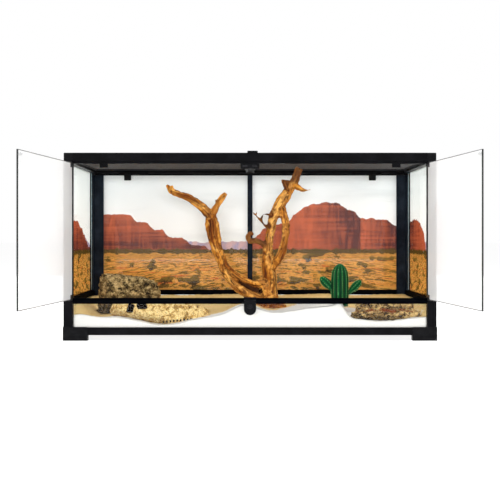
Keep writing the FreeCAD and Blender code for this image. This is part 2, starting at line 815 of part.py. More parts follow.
left_fork = [(-102, -22, 248, 12.6), (-127, -20, 274.5, 11), (-157, -17, 294, 10.2), (-187, -15, 306, 9.4),
             (-204, -14, 313, 8.9), (-212, -14, 323, 6.3), (-217, -14, 329.5, 3.9)]
fork_tip = [(-198, -14, 311, 5), (-202, -15, 320, 3.6), (-203.6, -15, 327, 2.6)]
right_fork = [(-98, -22, 248, 11.5), (-87, -26, 274.5, 8.4), (-75, -28, 291, 7.3), (-63, -30, 308, 6)]
root_right = [(50, -2, 30, 16), (75, -10, 16, 11), (93, -15, 8, 7)]
root_left = [(44, -2, 28, 15), (20, -14, 12, 11), (6, -22, 2, 8)]
limbs = (right_limb, top_stub, right_twig, left_twig, loop_twig, left_stub, left_limb, strand, left_fork,
         fork_tip, right_fork, root_right, root_left)


def driftwood_branch():
    # The upright reach follows the room under the screens
    reach = (ledge_top - branch_head - branch_seat) / branch_tall

    def stand(points):
        return limb([(x, branch_y + y, branch_seat + reach * z, r) for x, y, z, r in points])

    shape = stand(trunk).fuse([stand(points) for points in limbs])
    return shape.cut(box(-half_w, half_w, -half_d, half_d, 0, branch_seat))


paddle_form = [(-1.5, 0.5), (-1.1, 0.55), (-0.75, 0.7), (-0.4, 0.92), (0, 1), (0.4, 0.92), (0.75, 0.66),
               (0.93, 0.37), (1, 0.1)]


def paddle(x, y, z, lean, half_len, half_wide):
    # Oval arm on a leaning axis
    way = V(math.sin(math.radians(lean)), 0, math.cos(math.radians(lean)))
    points = []
    for t, share in paddle_form:
        c = V(x, y, z) + way * (t * half_len)
        points.append((c.x, c.y, c.z, share * half_wide))
    return limb(points, 1, 4 * arm_ribs, arm_ribs)


def cactus():
    x, y, z, r, h = cactus_x, cactus_y, cactus_seat, cactus_r, cactus_h
    stem = [(x, y, z, 0.92 * r), (x, y, z + 0.3 * h, r), (x, y, z + 0.62 * h, r),
            (x, y, z + h - 0.9 * r, 0.9 * r), (x, y, z + h - 0.42 * r, 0.66 * r),
            (x, y, z + h - 0.12 * r, 0.34 * r), (x, y, z + h, 0.08 * r)]
    arms = [paddle(x - 36.5, y, z + 62.4, -45, 21.5, 12.5), paddle(x + 41.3, y, z + 53.9, 45, 21, 11)]
    return limb(stem, 2, 4 * cactus_ribs, cactus_ribs).fuse(arms)


def squared(v, power):
    return math.copysign(abs(v) ** power, v)


def stone(cx, cy, z, rx, ry, levels, tilt, wobble, n, power):
    # Rings of a stone: each level is (share of full size, height), a power under 1 makes the outline boxy
    rings = []
    for k, (share, h) in enumerate(levels):
        points = []
        for i in range(n):
            a = 2 * math.pi * i / n
            wave = math.sin(3 * a + 0.9 * k) + 0.6 * math.sin(7 * a + 1.7 * k)
            f = share * (1 + wobble * wave)
            dx, dy = rx * f * squared(math.cos(a), power), ry * f * squared(math.sin(a), power)
            bump = 0 if k in (0, len(levels) - 1) else 2.2 * math.sin(5 * a + 2 * k)
            lift = 0 if k == 0 else h + tilt * levels[-1][1] * dx / rx + bump
            points.append(V(cx + dx, cy + dy, z + lift))
        rings.append(points)
    return skin(rings)


rock_levels = [(0.97, 0), (1.0, 30), (0.98, 62), (0.93, 88), (0.8, 100), (0.4, 105)]
ledge_levels = [(0.98, 0), (1.0, 12), (0.97, 26), (0.83, 31), (0.84, 44), (0.74, 53), (0.4, 56)]


def basking_rock():
    return stone(rock_x, rock_y, rock_seat, 88, 60, rock_levels, -0.1, 0.05, 18, 0.75)


def rock_ledge():
    return stone(ledge_x, ledge_y, ledge_seat, 91, 44, ledge_levels, 0.04, 0.04, 22, 0.6)


# Skull sections from its rear end: way along, half width, underside and top over the seat
skull = [(0, 10, 24, 38), (7, 24, 18, 52), (26, 36, 12, 61), (61, 41, 4, 64), (101, 38, -3, 64),
         (138, 33, -6, 60), (176, 29, -6, 56), (211, 25, -2, 52), (233, 21, 6, 44), (247, 14, 14, 40),
         (252, 5, 21, 33)]
skull_n = 20
eye_slots = [[(44, 31), (60, 31), (64, 50), (50, 52)], [(73, 40), (97, 41), (92, 52), (69, 51)]]
socket_floor = 18.0
slot_depth = 40.0
tooth_n = 9
tooth_pitch = 8.6
tooth_x = 134.0
tooth_gap_w = 3.0
tooth_gap_h = 6.0


def skull_hide():
    # Long flat reptile skull: sections of ellipses, eye openings cut in and gaps between the teeth
    rings = []
    for x, hw, zb, zt in skull:
        c, hh = skull_seat + (zb + zt) / 2, (zt - zb) / 2
        turns = [2 * math.pi * i / skull_n for i in range(skull_n)]
        rings.append([V(skull_x + x, skull_y + hw * math.cos(a), c + hh * math.sin(a)) for a in turns])
    cuts = [box(-half_w, half_w, -half_d, half_d, 0, skull_seat)]
    for sy in (-1, 1):
        for slot in eye_slots:
            outline = [V(skull_x + x, skull_y + sy * socket_floor, skull_seat + z) for x, z in slot]
            cuts.append(prism(outline, V(0, sy * slot_depth, 0)))
        for i in range(tooth_n):
            x = skull_x + tooth_x + i * tooth_pitch
            z = skull_seat + 3.5 + 0.8 * i
            ys = sorted((skull_y + sy * (19.5 - 0.7 * i), skull_y + sy * slot_depth))
            cuts.append(box(x, x + tooth_gap_w, ys[0], ys[1], z, z + tooth_gap_h))
    return cut_all(skin(rings), cuts)


os.makedirs("parts", exist_ok=True)
for side in SIDES:
    save("base_rail_" + side, base_rail(side))
    save("sill_rail_" + side, sill_rail(side))
    save("top_rail_" + side, rear_top_rail() if side == "rear" else top_rail(side))
    if side != "front":
        save("upper_pane_" + side, upper_pane(side))
        save("backdrop_" + side, backdrop(side))
for name in CORNERS:
    save("post_" + name, post(name))
    save("foot_" + name, foot(name))
    save("top_corner_" + name, top_corner(name))
save("lower_pane_front", lower_pane("front"))
save("lower_pane_rear", lower_pane("rear"))
save("lower_panes_side", lower_pane("left"), lower_pane("right"))
save("post_rear_center", center_post())
save("corner_screws", *[corner_screw(name) for name in CORNERS])
save("floor_pane", floor_pane())
save("cross_bar", cross_bar())
save("cross_bar_clips", *[cross_bar_clip(side) for side in ("front", "rear")])
for sx, word in ((-1, "left"), (1, "right")):
    save("screen_frame_" + word, screen_frame(sx))
    save("screen_mesh_" + word, screen_mesh(sx))
    save("cable_gate_" + word, cable_gate(sx))
    save("door_pane_" + word, door_pane(sx))
    save("door_fittings_" + word, *door_fittings(sx))
save("door_bushes", *[bush(sx, up) for sx in (-1, 1) for up in (-1, 1)])
save("door_catch", door_catch())
save("door_magnets", *[catch_magnet(sx) for sx in (-1, 1)])
save("lock_housing", lock_housing())
save("lock_plug", lock_plug())
save("lock_bolt", lock_bolt())
decor = {"driftwood_branch": driftwood_branch(), "cactus": cactus(), "basking_rock": basking_rock(),
         "rock_ledge": rock_ledge(), "skull_hide": skull_hide()}
for name, shape in decor.items():
    save(name, shape)
save("sand_bed", sand_bed(list(decor.values()) + frame_keep_out()))
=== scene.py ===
"""Dressed scene of a front-opening glass terrarium: finishes, furnishings, studio and camera."""
import logging
import math
from dataclasses import dataclass
from enum import Enum
from typing import Callable, Dict, Iterable, List, Optional, Sequence, Tuple, Union

import bmesh
import bpy
import numpy as np
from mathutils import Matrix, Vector, noise
from mathutils.bvhtree import BVHTree
from mathutils.kdtree import KDTree


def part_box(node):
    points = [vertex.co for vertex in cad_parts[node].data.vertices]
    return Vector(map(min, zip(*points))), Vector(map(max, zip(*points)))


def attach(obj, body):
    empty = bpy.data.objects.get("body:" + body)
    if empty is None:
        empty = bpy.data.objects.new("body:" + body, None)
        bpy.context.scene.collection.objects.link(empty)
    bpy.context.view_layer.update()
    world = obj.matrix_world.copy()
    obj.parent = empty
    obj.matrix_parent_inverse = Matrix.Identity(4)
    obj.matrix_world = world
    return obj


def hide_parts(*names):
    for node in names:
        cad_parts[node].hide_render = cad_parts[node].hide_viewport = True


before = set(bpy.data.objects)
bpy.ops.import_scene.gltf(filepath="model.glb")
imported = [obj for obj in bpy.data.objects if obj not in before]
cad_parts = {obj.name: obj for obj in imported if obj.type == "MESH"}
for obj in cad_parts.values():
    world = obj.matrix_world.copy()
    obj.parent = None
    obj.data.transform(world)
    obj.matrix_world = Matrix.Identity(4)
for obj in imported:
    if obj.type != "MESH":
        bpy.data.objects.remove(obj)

Colour = Tuple[float, float, float]
Place = Tuple[float, float, float]
Span = Tuple[float, float]
Outline = Tuple[Span, ...]
Face = Tuple[int, ...]
Socket = bpy.types.NodeSocket
Feed = Union[Socket, float, Sequence[float]]
Sample = Tuple[Vector, Vector, float, float]
Spot = Tuple[Vector, Vector]

log = logging.getLogger("terrarium")
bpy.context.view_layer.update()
CABINET = "cabinet"
HANDS = ("left", "right")
MM = 0.001
UP = Vector((0, 0, 1))
WHITE: Colour = (1.0, 1.0, 1.0)
ZERO: Place = (0.0, 0.0, 0.0)
SAME: Place = (1.0, 1.0, 1.0)


def tone(red: int, green: int, blue: int) -> Colour:
    """Turn a screen colour of 0 to 255 into the linear colour that shaders use.

    Args:
        red: red part.
        green: green part.
        blue: blue part.

    Returns:
        The linear colour.
    """
    def linear(part: int) -> float:
        """Undo the screen curve for one part."""
        share = part / 255
        return share / 12.92 if share <= 0.04045 else ((share + 0.055) / 1.055) ** 2.4

    return linear(red), linear(green), linear(blue)


class Axis(Enum):
    """Direction that a pane faces or a film runs along."""

    X = (1.0, 0.0, 0.0)
    Y = (0.0, 1.0, 0.0)
    Z = (0.0, 0.0, 1.0)


class Graph:
    """Builder for the node tree of one material or of the world."""

    bevel_samples = 6

    def __init__(self, name: str, world: bool = False) -> None:
        """Start an empty tree.

        Args:
            name: the material's or the world's name.
            world: whether it is the world's.
        """
        self.material = (bpy.data.worlds if world else bpy.data.materials).new(name)
        self.material.use_nodes = True
        self.tree = self.material.node_tree
        self.tree.nodes.clear()
        self.out = self.tree.nodes.new("ShaderNodeOutput" + ("World" if world else "Material"))

    def add(self, kind: str, feeds: Optional[Dict[str, Feed]] = None, **settings: object) -> bpy.types.Node:
        """Add a node.

        Args:
            kind: the node type without its ShaderNode prefix.
            feeds: values or sockets for its inputs, by name.
            settings: properties of the node.

        Returns:
            The node.
        """
        node = self.tree.nodes.new("ShaderNode" + kind)
        for key, value in settings.items():
            setattr(node, key, value)
        for key, value in (feeds or {}).items():
            self.feed(node.inputs[key], value)
        return node

    def feed(self, socket: Socket, value: Feed) -> None:
        """Link a socket, or set its value.

        Args:
            socket: the input.
            value: an output socket, a number or a list of numbers.
        """
        if isinstance(value, bpy.types.NodeSocket):
            self.tree.links.new(value, socket)
        elif socket.type == "RGBA" and len(value) == 3:
            socket.default_value = (*value, 1.0)
        else:
            socket.default_value = value

    def place(self) -> Socket:
        """Give the point's place in the row frame."""
        return self.add("TexCoord").outputs["Object"]

    def part(self, point: Socket, axis: str) -> Socket:
        """Give one part of a coordinate: X, Y or Z."""
        return self.add("SeparateXYZ", {"Vector": point}).outputs[axis]

    def attribute(self, name: str, output: str = "Fac") -> Socket:
        """Give what a mesh stores on its points under a name."""
        return self.add("Attribute", attribute_name=name).outputs[output]

    def facing(self, way: Sequence[float]) -> Socket:
        """Give how far a face's outward normal points along a direction, from whichever side it is met.

        Args:
            way: the direction.

        Returns:
            The cosine, from -1 to 1.
        """
        normal = self.add("TexCoord").outputs["Normal"]
        dot = self.add("VectorMath", operation="DOT_PRODUCT")
        self.feed(dot.inputs[0], normal)
        self.feed(dot.inputs[1], way)
        behind = self.add("NewGeometry").outputs["Backfacing"]
        return self.math("MULTIPLY", dot.outputs["Value"], self.step(behind, 0.0, 1.0, 1.0, -1.0, "LINEAR"))

    def math(self, operation: str, first: Feed, second: Feed = 0.0, clamp: bool = False) -> Socket:
        """Add a math node.

        Args:
            operation: Blender's name for it.
            first: first value.
            second: second value.
            clamp: keep the result between 0 and 1.

        Returns:
            The result.
        """
        node = self.add("Math", operation=operation, use_clamp=clamp)
        self.feed(node.inputs[0], first)
        if len(node.inputs) > 1:
            self.feed(node.inputs[1], second)
        return node.outputs[0]

    def swing(self, value: Socket, size: float) -> Socket:
        """Turn a noise of 0 to 1 into a swing of a given size about zero."""
        return self.math("MULTIPLY", self.math("SUBTRACT", value, 0.5), size)

    def step(self, value: Feed, low: float, high: float, start: float = 0.0, end: float = 1.0,
             curve: str = "SMOOTHSTEP") -> Socket:
        """Map a value from one range to another, along one of Blender's curves."""
        feeds = {"Value": value, "From Min": low, "From Max": high, "To Min": start, "To Max": end}
        return self.add("MapRange", feeds, interpolation_type=curve).outputs["Result"]

    def mix(self, share: Feed, first: Feed, second: Feed, blend: str = "MIX") -> Socket:
        """Mix two colours.

        Args:
            share: how much of the second.
            first: first colour.
            second: second colour.
            blend: the blend type.

        Returns:
            The mixed colour.
        """
        node = self.add("Mix", data_type="RGBA", blend_type=blend)
        self.feed(node.inputs["Factor"], share)
        self.feed(node.inputs[6], first)
        self.feed(node.inputs[7], second)
        return node.outputs[2]

    def ramp(self, value: Feed, *stops: Tuple[float, Colour]) -> Socket:
        """Turn a value into a colour.

        Args:
            value: the value.
            stops: places and colours of the ramp.

        Returns:
            The colour.
        """
        node = self.add("ValToRGB", {"Fac": value})
        marks = node.color_ramp.elements
        while len(marks) < len(stops):
            marks.new(0.5)
        for mark, (spot, colour) in zip(marks, stops):
            mark.position = spot
            mark.color = (*colour, 1.0)
        return node.outputs["Color"]

    def stretch(self, point: Socket, scale: Place, turn: Place = ZERO, shift: Place = ZERO) -> Socket:
        """Scale, turn and shift a coordinate.

        Args:
            point: the coordinate.
            scale: scale along each axis.
            turn: turn in degrees about each axis.
            shift: shift along each axis.

        Returns:
            The new coordinate.
        """
        node = self.add("Mapping", {"Vector": point, "Scale": scale, "Location": shift})
        node.inputs["Rotation"].default_value = [math.radians(a) for a in turn]
        return node.outputs["Vector"]

    def noise(self, point: Socket, scale: float, detail: float = 4.0, rough: float = 0.55,
              warp: float = 0.0) -> Socket:
        """Add a noise of about 0 to 1: features per metre, octaves, weight of the finer ones, distortion."""
        feeds = {"Vector": point, "Scale": scale, "Detail": detail, "Roughness": rough, "Distortion": warp}
        return self.add("TexNoise", feeds).outputs["Fac"]

    def grain(self, point: Socket, scale: Place, detail: float = 4.0, rough: float = 0.55, warp: float = 0.0,
              shift: Place = ZERO) -> Socket:
        """Add a noise with a scale of its own along each axis, shifted where asked."""
        return self.noise(self.stretch(point, scale, ZERO, shift), 1.0, detail, rough, warp)

    def cells(self, point: Socket, scale: float, output: str = "Distance") -> Socket:
        """Add a pattern of so many cells per metre and give one of its outputs."""
        return self.add("TexVoronoi", {"Vector": point, "Scale": scale}, feature="F1").outputs[output]

    def bump(self, height: Feed, strength: float, depth: float, under: Optional[Socket] = None) -> Socket:
        """Add a bump.

        Args:
            height: the relief.
            strength: how strongly it shows.
            depth: its depth in metres.
            under: another bump below it.

        Returns:
            The normal.
        """
        node = self.add("Bump", {"Height": height, "Strength": strength, "Distance": depth})
        if under is not None:
            self.feed(node.inputs["Normal"], under)
        return node.outputs["Normal"]

    def edges(self, radius: float) -> Socket:
        """Give a normal that rounds the sharp edges by a radius in metres."""
        return self.add("Bevel", {"Radius": radius}, samples=self.bevel_samples).outputs[0]

    def principled(self, **feeds: Feed) -> bpy.types.Node:
        """Add the main shader and show it.

        Args:
            feeds: values or sockets for its inputs, by name with underscores for spaces.

        Returns:
            The node.
        """
        node = self.add("BsdfPrincipled", {key.replace("_", " "): value for key, value in feeds.items()})
        self.show(node.outputs[0])
        return node

    def blend(self, share: Feed, first: Socket, second: Socket) -> Socket:
        """Mix two shaders.

        Args:
            share: how much of the second.
            first: first shader.
            second: second shader.

        Returns:
            The mixed shader.
        """
        node = self.add("MixShader", {"Fac": share})
        self.feed(node.inputs[1], first)
        self.feed(node.inputs[2], second)
        return node.outputs[0]

    def show(self, shader: Socket) -> None:
        """Use a shader as the surface."""
        self.tree.links.new(shader, self.out.inputs["Surface"])


@dataclass(frozen=True)
class SatinBlack:
    """Satin black coat on drawn rails: faint drawing lines, dust and a fine grain."""

    name: str = "satin_black"
    dark: Colour = tone(9, 9, 11)
    dusty: Colour = tone(20, 20, 23)
    lines: Place = (60.0, 60.0, 900.0)
    roughness: Span = (0.26, 0.42)
    shine: float = 0.06
    edge_radius: float = 0.9 * MM
    dust_scale: float = 28.0
    grain_scale: float = 2600.0
    relief: float = 0.2 * MM

    def material(self) -> bpy.types.Material:
        """Build the material.

        Returns:
            The material.
        """
        g = Graph(self.name)
        point = g.place()
        drawn = g.grain(point, self.lines, 2.0)
        dust = g.noise(point, self.dust_scale, 6.0, 0.62)
        grain = g.noise(point, self.grain_scale, 2.0)
        colour = g.ramp(dust, (0.42, self.dark), (0.72, self.dusty))
        rough = g.math("ADD", g.step(dust, 0.3, 0.75, *self.roughness), g.math("MULTIPLY", drawn, 0.06))
        normal = g.bump(grain, 0.1, self.relief, g.bump(drawn, 0.05, self.relief, g.edges(self.edge_radius)))
        g.principled(Base_Color=colour, Roughness=rough, Normal=normal, Specular_IOR_Level=self.shine)
        return g.material


@dataclass(frozen=True)
class MouldedBlack:
    """Moulded black plastic with a spark-eroded grain and scuffed patches."""

    name: str = "moulded_black"
    dark: Colour = tone(11, 11, 13)
    scuffed: Colour = tone(30, 30, 32)
    grain_scale: float = 1500.0
    grain_depth: float = 0.3 * MM
    roughness: Span = (0.42, 0.62)
    edge_radius: float = 0.9 * MM
    scuff_scale: float = 70.0
    shine: float = 0.09

    def material(self) -> bpy.types.Material:
        """Build the material.

        Returns:
            The material.
        """
        g = Graph(self.name)
        point = g.place()
        scuff = g.noise(point, self.scuff_scale, 7.0, 0.65, 0.4)
        colour = g.ramp(scuff, (0.45, self.dark), (0.75, self.scuffed))
        rough = g.step(scuff, 0.35, 0.7, *self.roughness)
        grain = g.cells(point, self.grain_scale)
        normal = g.bump(grain, 0.25, self.grain_depth, g.edges(self.edge_radius))
        g.principled(Base_Color=colour, Roughness=rough, Normal=normal, Specular_IOR_Level=self.shine)
        return g.material


@dataclass(frozen=True)
class PlatedSteel:
    """Plated steel: turned or rolled marks and small stains."""

    name: str
    bright: Colour = tone(176, 176, 178)
    stain: Colour = tone(120, 116, 108)
    marks: Place = (300.0, 300.0, 2400.0)
    mark_depth: float = 0.1 * MM
    spot_scale: float = 220.0
    roughness: Span = (0.22, 0.42)

    def material(self) -> bpy.types.Material:
        """Build the material.

        Returns:
            The material.
        """
        g = Graph(self.name)
        point = g.place()
        mark = g.bump(g.grain(point, self.marks, 3.0), 0.12, self.mark_depth)
        spot = g.noise(point, self.spot_scale, 5.0)
        colour = g.ramp(spot, (0.4, self.bright), (0.75, self.stain))
        g.principled(Base_Color=colour, Metallic=1.0, Roughness=g.step(spot, 0.3, 0.75, *self.roughness),
                     Normal=mark)
        return g.material


@dataclass(frozen=True)
class DoorSteel:
    """Door fittings: black coated shoes at the hinge, bare bright strikes at the free edge."""

    name: str = "door_steel"
    coat: Colour = tone(22, 22, 24)
    worn: Colour = tone(52, 52, 54)
    bare: Colour = tone(206, 208, 208)
    free_end: float = -0.3
    wear_scale: float = 160.0
    grain_scale: float = 900.0
    grain_depth: float = 0.1 * MM
    edge_radius: float = 0.4 * MM

    def material(self) -> bpy.types.Material:
        """Build the material.

        Returns:
            The material.
        """
        g = Graph(self.name)
        point = g.place()
        wear = g.noise(point, self.wear_scale, 6.0, 0.65)
        coat = g.ramp(wear, (0.45, self.coat), (0.75, self.worn))
        free = g.math("LESS_THAN", g.part(point, "Y"), self.free_end)
        grain = g.cells(point, self.grain_scale)
        normal = g.bump(grain, 0.15, self.grain_depth, g.edges(self.edge_radius))
        g.principled(Base_Color=g.mix(free, coat, self.bare), Roughness=g.step(wear, 0.3, 0.7, 0.28, 0.45),
                     Normal=normal)
        return g.material


@dataclass(frozen=True)
class PaneGlass:
    """Float glass: clear faces that mirror more at a slant, wipe marks, dark edges, a dusty inner face."""

    name: str
    way: Place
    tint: Colour = (0.996, 0.998, 0.997)
    wipe: Colour = (0.96, 0.965, 0.965)
    wipe_scale: Place = (3.0, 3.0, 22.0)
    wipe_turn: Place = (18, 12, 0)
    edge: Colour = tone(36, 46, 45)
    edge_sparkle: float = 1.6
    edge_limit: float = 0.8
    edge_scale: float = 900.0
    edge_rough: float = 0.22
    dust: float = 0.0
    dust_full: float = 0.25
    head_on: float = 0.04
    straight_mirror: float = 0.008
    slant_mirror: float = 1.0
    ior: float = 1.5
    arris: float = 0.0
    arris_inner: float = 0.6
    arris_cover: float = 0.8
    span: Span = (0.0, 0.0)

    def material(self) -> bpy.types.Material:
        """Build the material.

        Returns:
            The material.
        """
        g = Graph(self.name)
        point = g.place()
        behind = g.add("NewGeometry").outputs["Backfacing"]
        turned = g.step(behind, 0.0, 1.0, self.ior, 1.0 / self.ior)
        fresnel = g.add("Fresnel", {"IOR": turned}).outputs[0]
        mirror = g.step(fresnel, self.head_on, 1.0, self.straight_mirror, self.slant_mirror, "LINEAR")
        streak = g.noise(g.stretch(point, self.wipe_scale, self.wipe_turn), 1.0, 3.0)
        clear = g.add("BsdfTransparent", {"Color": g.ramp(streak, (0.55, self.tint), (0.75, self.wipe))})
        gloss = g.add("BsdfGlossy", {"Color": WHITE, "Roughness": 0.0}).outputs[0]
        face = g.blend(mirror, clear.outputs[0], gloss)
        if self.dust:
            inner = g.math("SUBTRACT", g.math("GREATER_THAN", g.facing(self.way), 0.0), behind, True)
            lying = g.step(fresnel, self.head_on, self.dust_full, 0.0, self.dust, "LINEAR")
            veil = g.math("MULTIPLY", inner, lying)
            face = g.blend(veil, face, g.add("BsdfDiffuse", {"Color": WHITE}).outputs[0])
        ground = g.noise(point, self.edge_scale, 3.0)
        bright = tuple(self.edge_sparkle * c for c in self.edge)
        shade = g.ramp(ground, (0.3, self.edge), (0.8, bright))
        rim = g.add("BsdfPrincipled", {"Base Color": shade, "Roughness": self.edge_rough}).outputs[0]
        if self.arris:
            level = g.part(point, "Z")
            low, high = self.span
            gap = g.math("MINIMUM", g.math("SUBTRACT", level, low), g.math("SUBTRACT", high, level))
            cover = g.step(gap, self.arris_inner * self.arris, self.arris, self.arris_cover, 0.0)
            face = g.blend(cover, face, rim)
        flat = g.math("ABSOLUTE", g.facing(self.way))
        g.show(g.blend(g.math("GREATER_THAN", flat, self.edge_limit), rim, face))
        return g.material


class WallGraph(Graph):
    """Graph of a film, with its coordinates: along the wall, over the horizon, both, and along alone."""

    def __init__(self, name: str, across: Axis, shift: float, horizon: float) -> None:
        """Start an empty material and set up its coordinates.

        Args:
            name: the material's name.
            across: the axis that the film runs along.
            shift: shift of the scene along the wall.
            horizon: height of the horizon.
        """
        super().__init__(name)
        point = self.place()
        self.along = self.math("ADD", self.part(point, across.name), shift)
        self.height = self.math("SUBTRACT", self.part(point, "Z"), horizon)
        self.flat = self.add("CombineXYZ", {"X": self.along, "Y": self.height}).outputs[0]
        self.row = self.add("CombineXYZ", {"X": self.along}).outputs[0]


@dataclass(frozen=True)
class DesertPrint:
    """Printed film with a plain desert scene: far ridge, rounded rock domes, low terraces and scrub.

    Each dome is its middle along the wall, half width and rise; the terrace is its start and rise, in metres.
    Lines and jags are the size of a noise and what is added to it or taken off. Scales are per metre.
    """

    name: str
    across: Axis
    inward: float
    domes: Tuple[Place, ...]
    terrace: Span
    shift: float = 0.0
    horizon: float = 0.217
    sky_low: Colour = tone(254, 254, 253)
    sky_high: Colour = tone(248, 253, 254)
    cloud_scale: Place = (4.0, 18.0, 2.0)
    ridge: Colour = tone(168, 158, 190)
    ridge_lit: Colour = tone(214, 178, 178)
    ridge_line: Span = (0.1, -0.026)
    ridge_scale: float = 6.0
    haze_scale: Place = (40.0, 18.0, 1.0)
    rock_shade: Colour = tone(88, 40, 38)
    rock_lit: Colour = tone(196, 98, 62)
    band_scale: Place = (3.0, 95.0, 1.0)
    run_scale: Place = (70.0, 9.0, 1.0)
    dome_round: float = 0.42
    dome_sink: float = 0.02
    dome_rough: float = 0.03
    dome_scale: float = 38.0
    terrace_run: float = 0.36
    terrace_levels: Span = (4.2, -0.6)
    terrace_step: float = 0.22
    terrace_wander: float = 1.2
    wander_scale: float = 7.0
    terrace_jag: Span = (0.014, 0.016)
    jag_scale: float = 90.0
    ground_low: Colour = tone(214, 142, 62)
    ground_high: Colour = tone(232, 174, 92)
    ground_red: Colour = tone(206, 96, 46)
    ground_near: float = 0.018
    ground_depth: float = 0.3
    soil_scale: float = 1.6
    streak_squash: Place = (0.5, 2.2, 1.0)
    streak_scale: float = 1.4
    scrub_dark: Colour = tone(46, 34, 15)
    scrub_lit: Colour = tone(132, 104, 38)
    clump_scale: float = 2.6
    clump_leaf: float = 20.0
    shrub_scale: float = 17.0
    shrub_leaf: float = 190.0
    shrub_squash: Place = (1.0, 1.7, 1.0)
    shrub_crown: Place = (0.0, 0.014, 0.0)
    hedge_line: Span = (0.034, 0.011)
    hedge_scale: float = 46.0
    hedge_leaf: float = 420.0
    hedge_drop: float = 0.004
    straw: Colour = tone(232, 172, 74)
    straw_scale: float = 9.0
    tuft_scale: float = 5.0
    tuft_shade: Colour = tone(104, 60, 24)
    tuft_shadow: Place = (0.0, -0.05, 0.0)
    through: float = 0.0
    back_through: float = 0.0
    ghost: float = 0.0
    blank: Colour = tone(236, 236, 232)
    blank_worn: float = 0.94
    blank_scale: float = 60.0
    gloss_scale: float = 30.0

    def sky(self, g: WallGraph) -> Socket:
        """Paint the sky.

        Args:
            g: the film's graph.

        Returns:
            The colour.
        """
        cloud = g.grain(g.flat, self.cloud_scale, 5.0)
        rise = g.math("ADD", g.step(g.height, 0.05, 0.22), g.swing(cloud, 0.5), True)
        return g.mix(rise, self.sky_low, self.sky_high)

    def far_ridge(self, g: WallGraph) -> Tuple[Socket, Socket]:
        """Give the top line of the far ridge and its hazy colour.

        Args:
            g: the film's graph.

        Returns:
            The height of the line and the colour.
        """
        rise, foot = self.ridge_line
        line = g.math("ADD", g.math("MULTIPLY", g.noise(g.row, self.ridge_scale, 5.0, 0.5), rise), foot)
        haze = g.step(g.grain(g.flat, self.haze_scale), 0.4, 0.62)
        return line, g.mix(haze, self.ridge, self.ridge_lit)

    def rock(self, g: WallGraph, lit: Socket) -> Socket:
        """Paint bare rock with bands and runs.

        Args:
            g: the film's graph.
            lit: how much light falls on it.

        Returns:
            The colour.
        """
        bands = g.grain(g.flat, self.band_scale, 4.0, 0.6, 0.6)
        runs = g.grain(g.flat, self.run_scale, 4.0, 0.6, 0.8)
        wear = g.math("ADD", g.math("MULTIPLY", bands, 0.5), g.math("MULTIPLY", runs, 0.5))
        light = g.math("ADD", lit, g.step(wear, 0.32, 0.68, -0.45, 0.45), True)
        return g.mix(light, self.rock_shade, self.rock_lit)

    def dome_field(self, g: WallGraph) -> Tuple[Socket, Socket]:
        """Give the top line of the domes and the light on them.

        Args:
            g: the film's graph.

        Returns:
            The height of the top line and the light.
        """
        rough = g.swing(g.noise(g.flat, self.dome_scale, 5.0), self.dome_rough)
        top: Feed = -1.0
        light: Feed = 0.5
        for middle, half, rise in self.domes:
            offset = g.math("DIVIDE", g.math("SUBTRACT", g.along, middle), half)
            square = g.math("MULTIPLY", offset, offset)
            crown = g.math("POWER", g.math("SUBTRACT", 1.0, square, True), self.dome_round)
            arch = g.math("MULTIPLY", crown, rise + self.dome_sink)
            line = g.math("ADD", g.math("SUBTRACT", arch, self.dome_sink), rough)
            ahead = g.add("Mix", {"Factor": g.math("GREATER_THAN", line, top)}, data_type="FLOAT")
            g.feed(ahead.inputs[2], light)
            g.feed(ahead.inputs[3], g.step(offset, -0.7, 0.8, 0.95, 0.08))
            light = ahead.outputs[0]
            top = g.math("MAXIMUM", line, top)
        return top, light

    def terrace_line(self, g: WallGraph) -> Socket:
        """Give the stepped top line of the low terraces.

        Args:
            g: the film's graph.

        Returns:
            The height of the line.
        """
        start, rise = self.terrace
        wander = g.math("MULTIPLY", g.noise(g.row, self.wander_scale, 2.0), self.terrace_wander)
        slope = g.math("ADD", g.step(g.along, start, start + self.terrace_run, *self.terrace_levels), wander)
        talus = g.step(g.math("FRACT", slope), 0.0, 0.55)
        rough, sink = self.terrace_jag
        jag = g.math("MULTIPLY", g.noise(g.row, self.jag_scale, 5.0, 0.6), rough)
        steps = g.math("ADD", g.math("FLOOR", slope), talus)
        line = g.math("MULTIPLY", steps, self.terrace_step * rise)
        return g.math("ADD", line, g.math("SUBTRACT", jag, sink))

    def leaves(self, g: WallGraph, pattern: Socket, dark: float, lit: float) -> Socket:
        """Paint scrub leaves that are dark at one value of a pattern and lit at another."""
        return g.ramp(pattern, (dark, self.scrub_dark), (lit, self.scrub_lit))

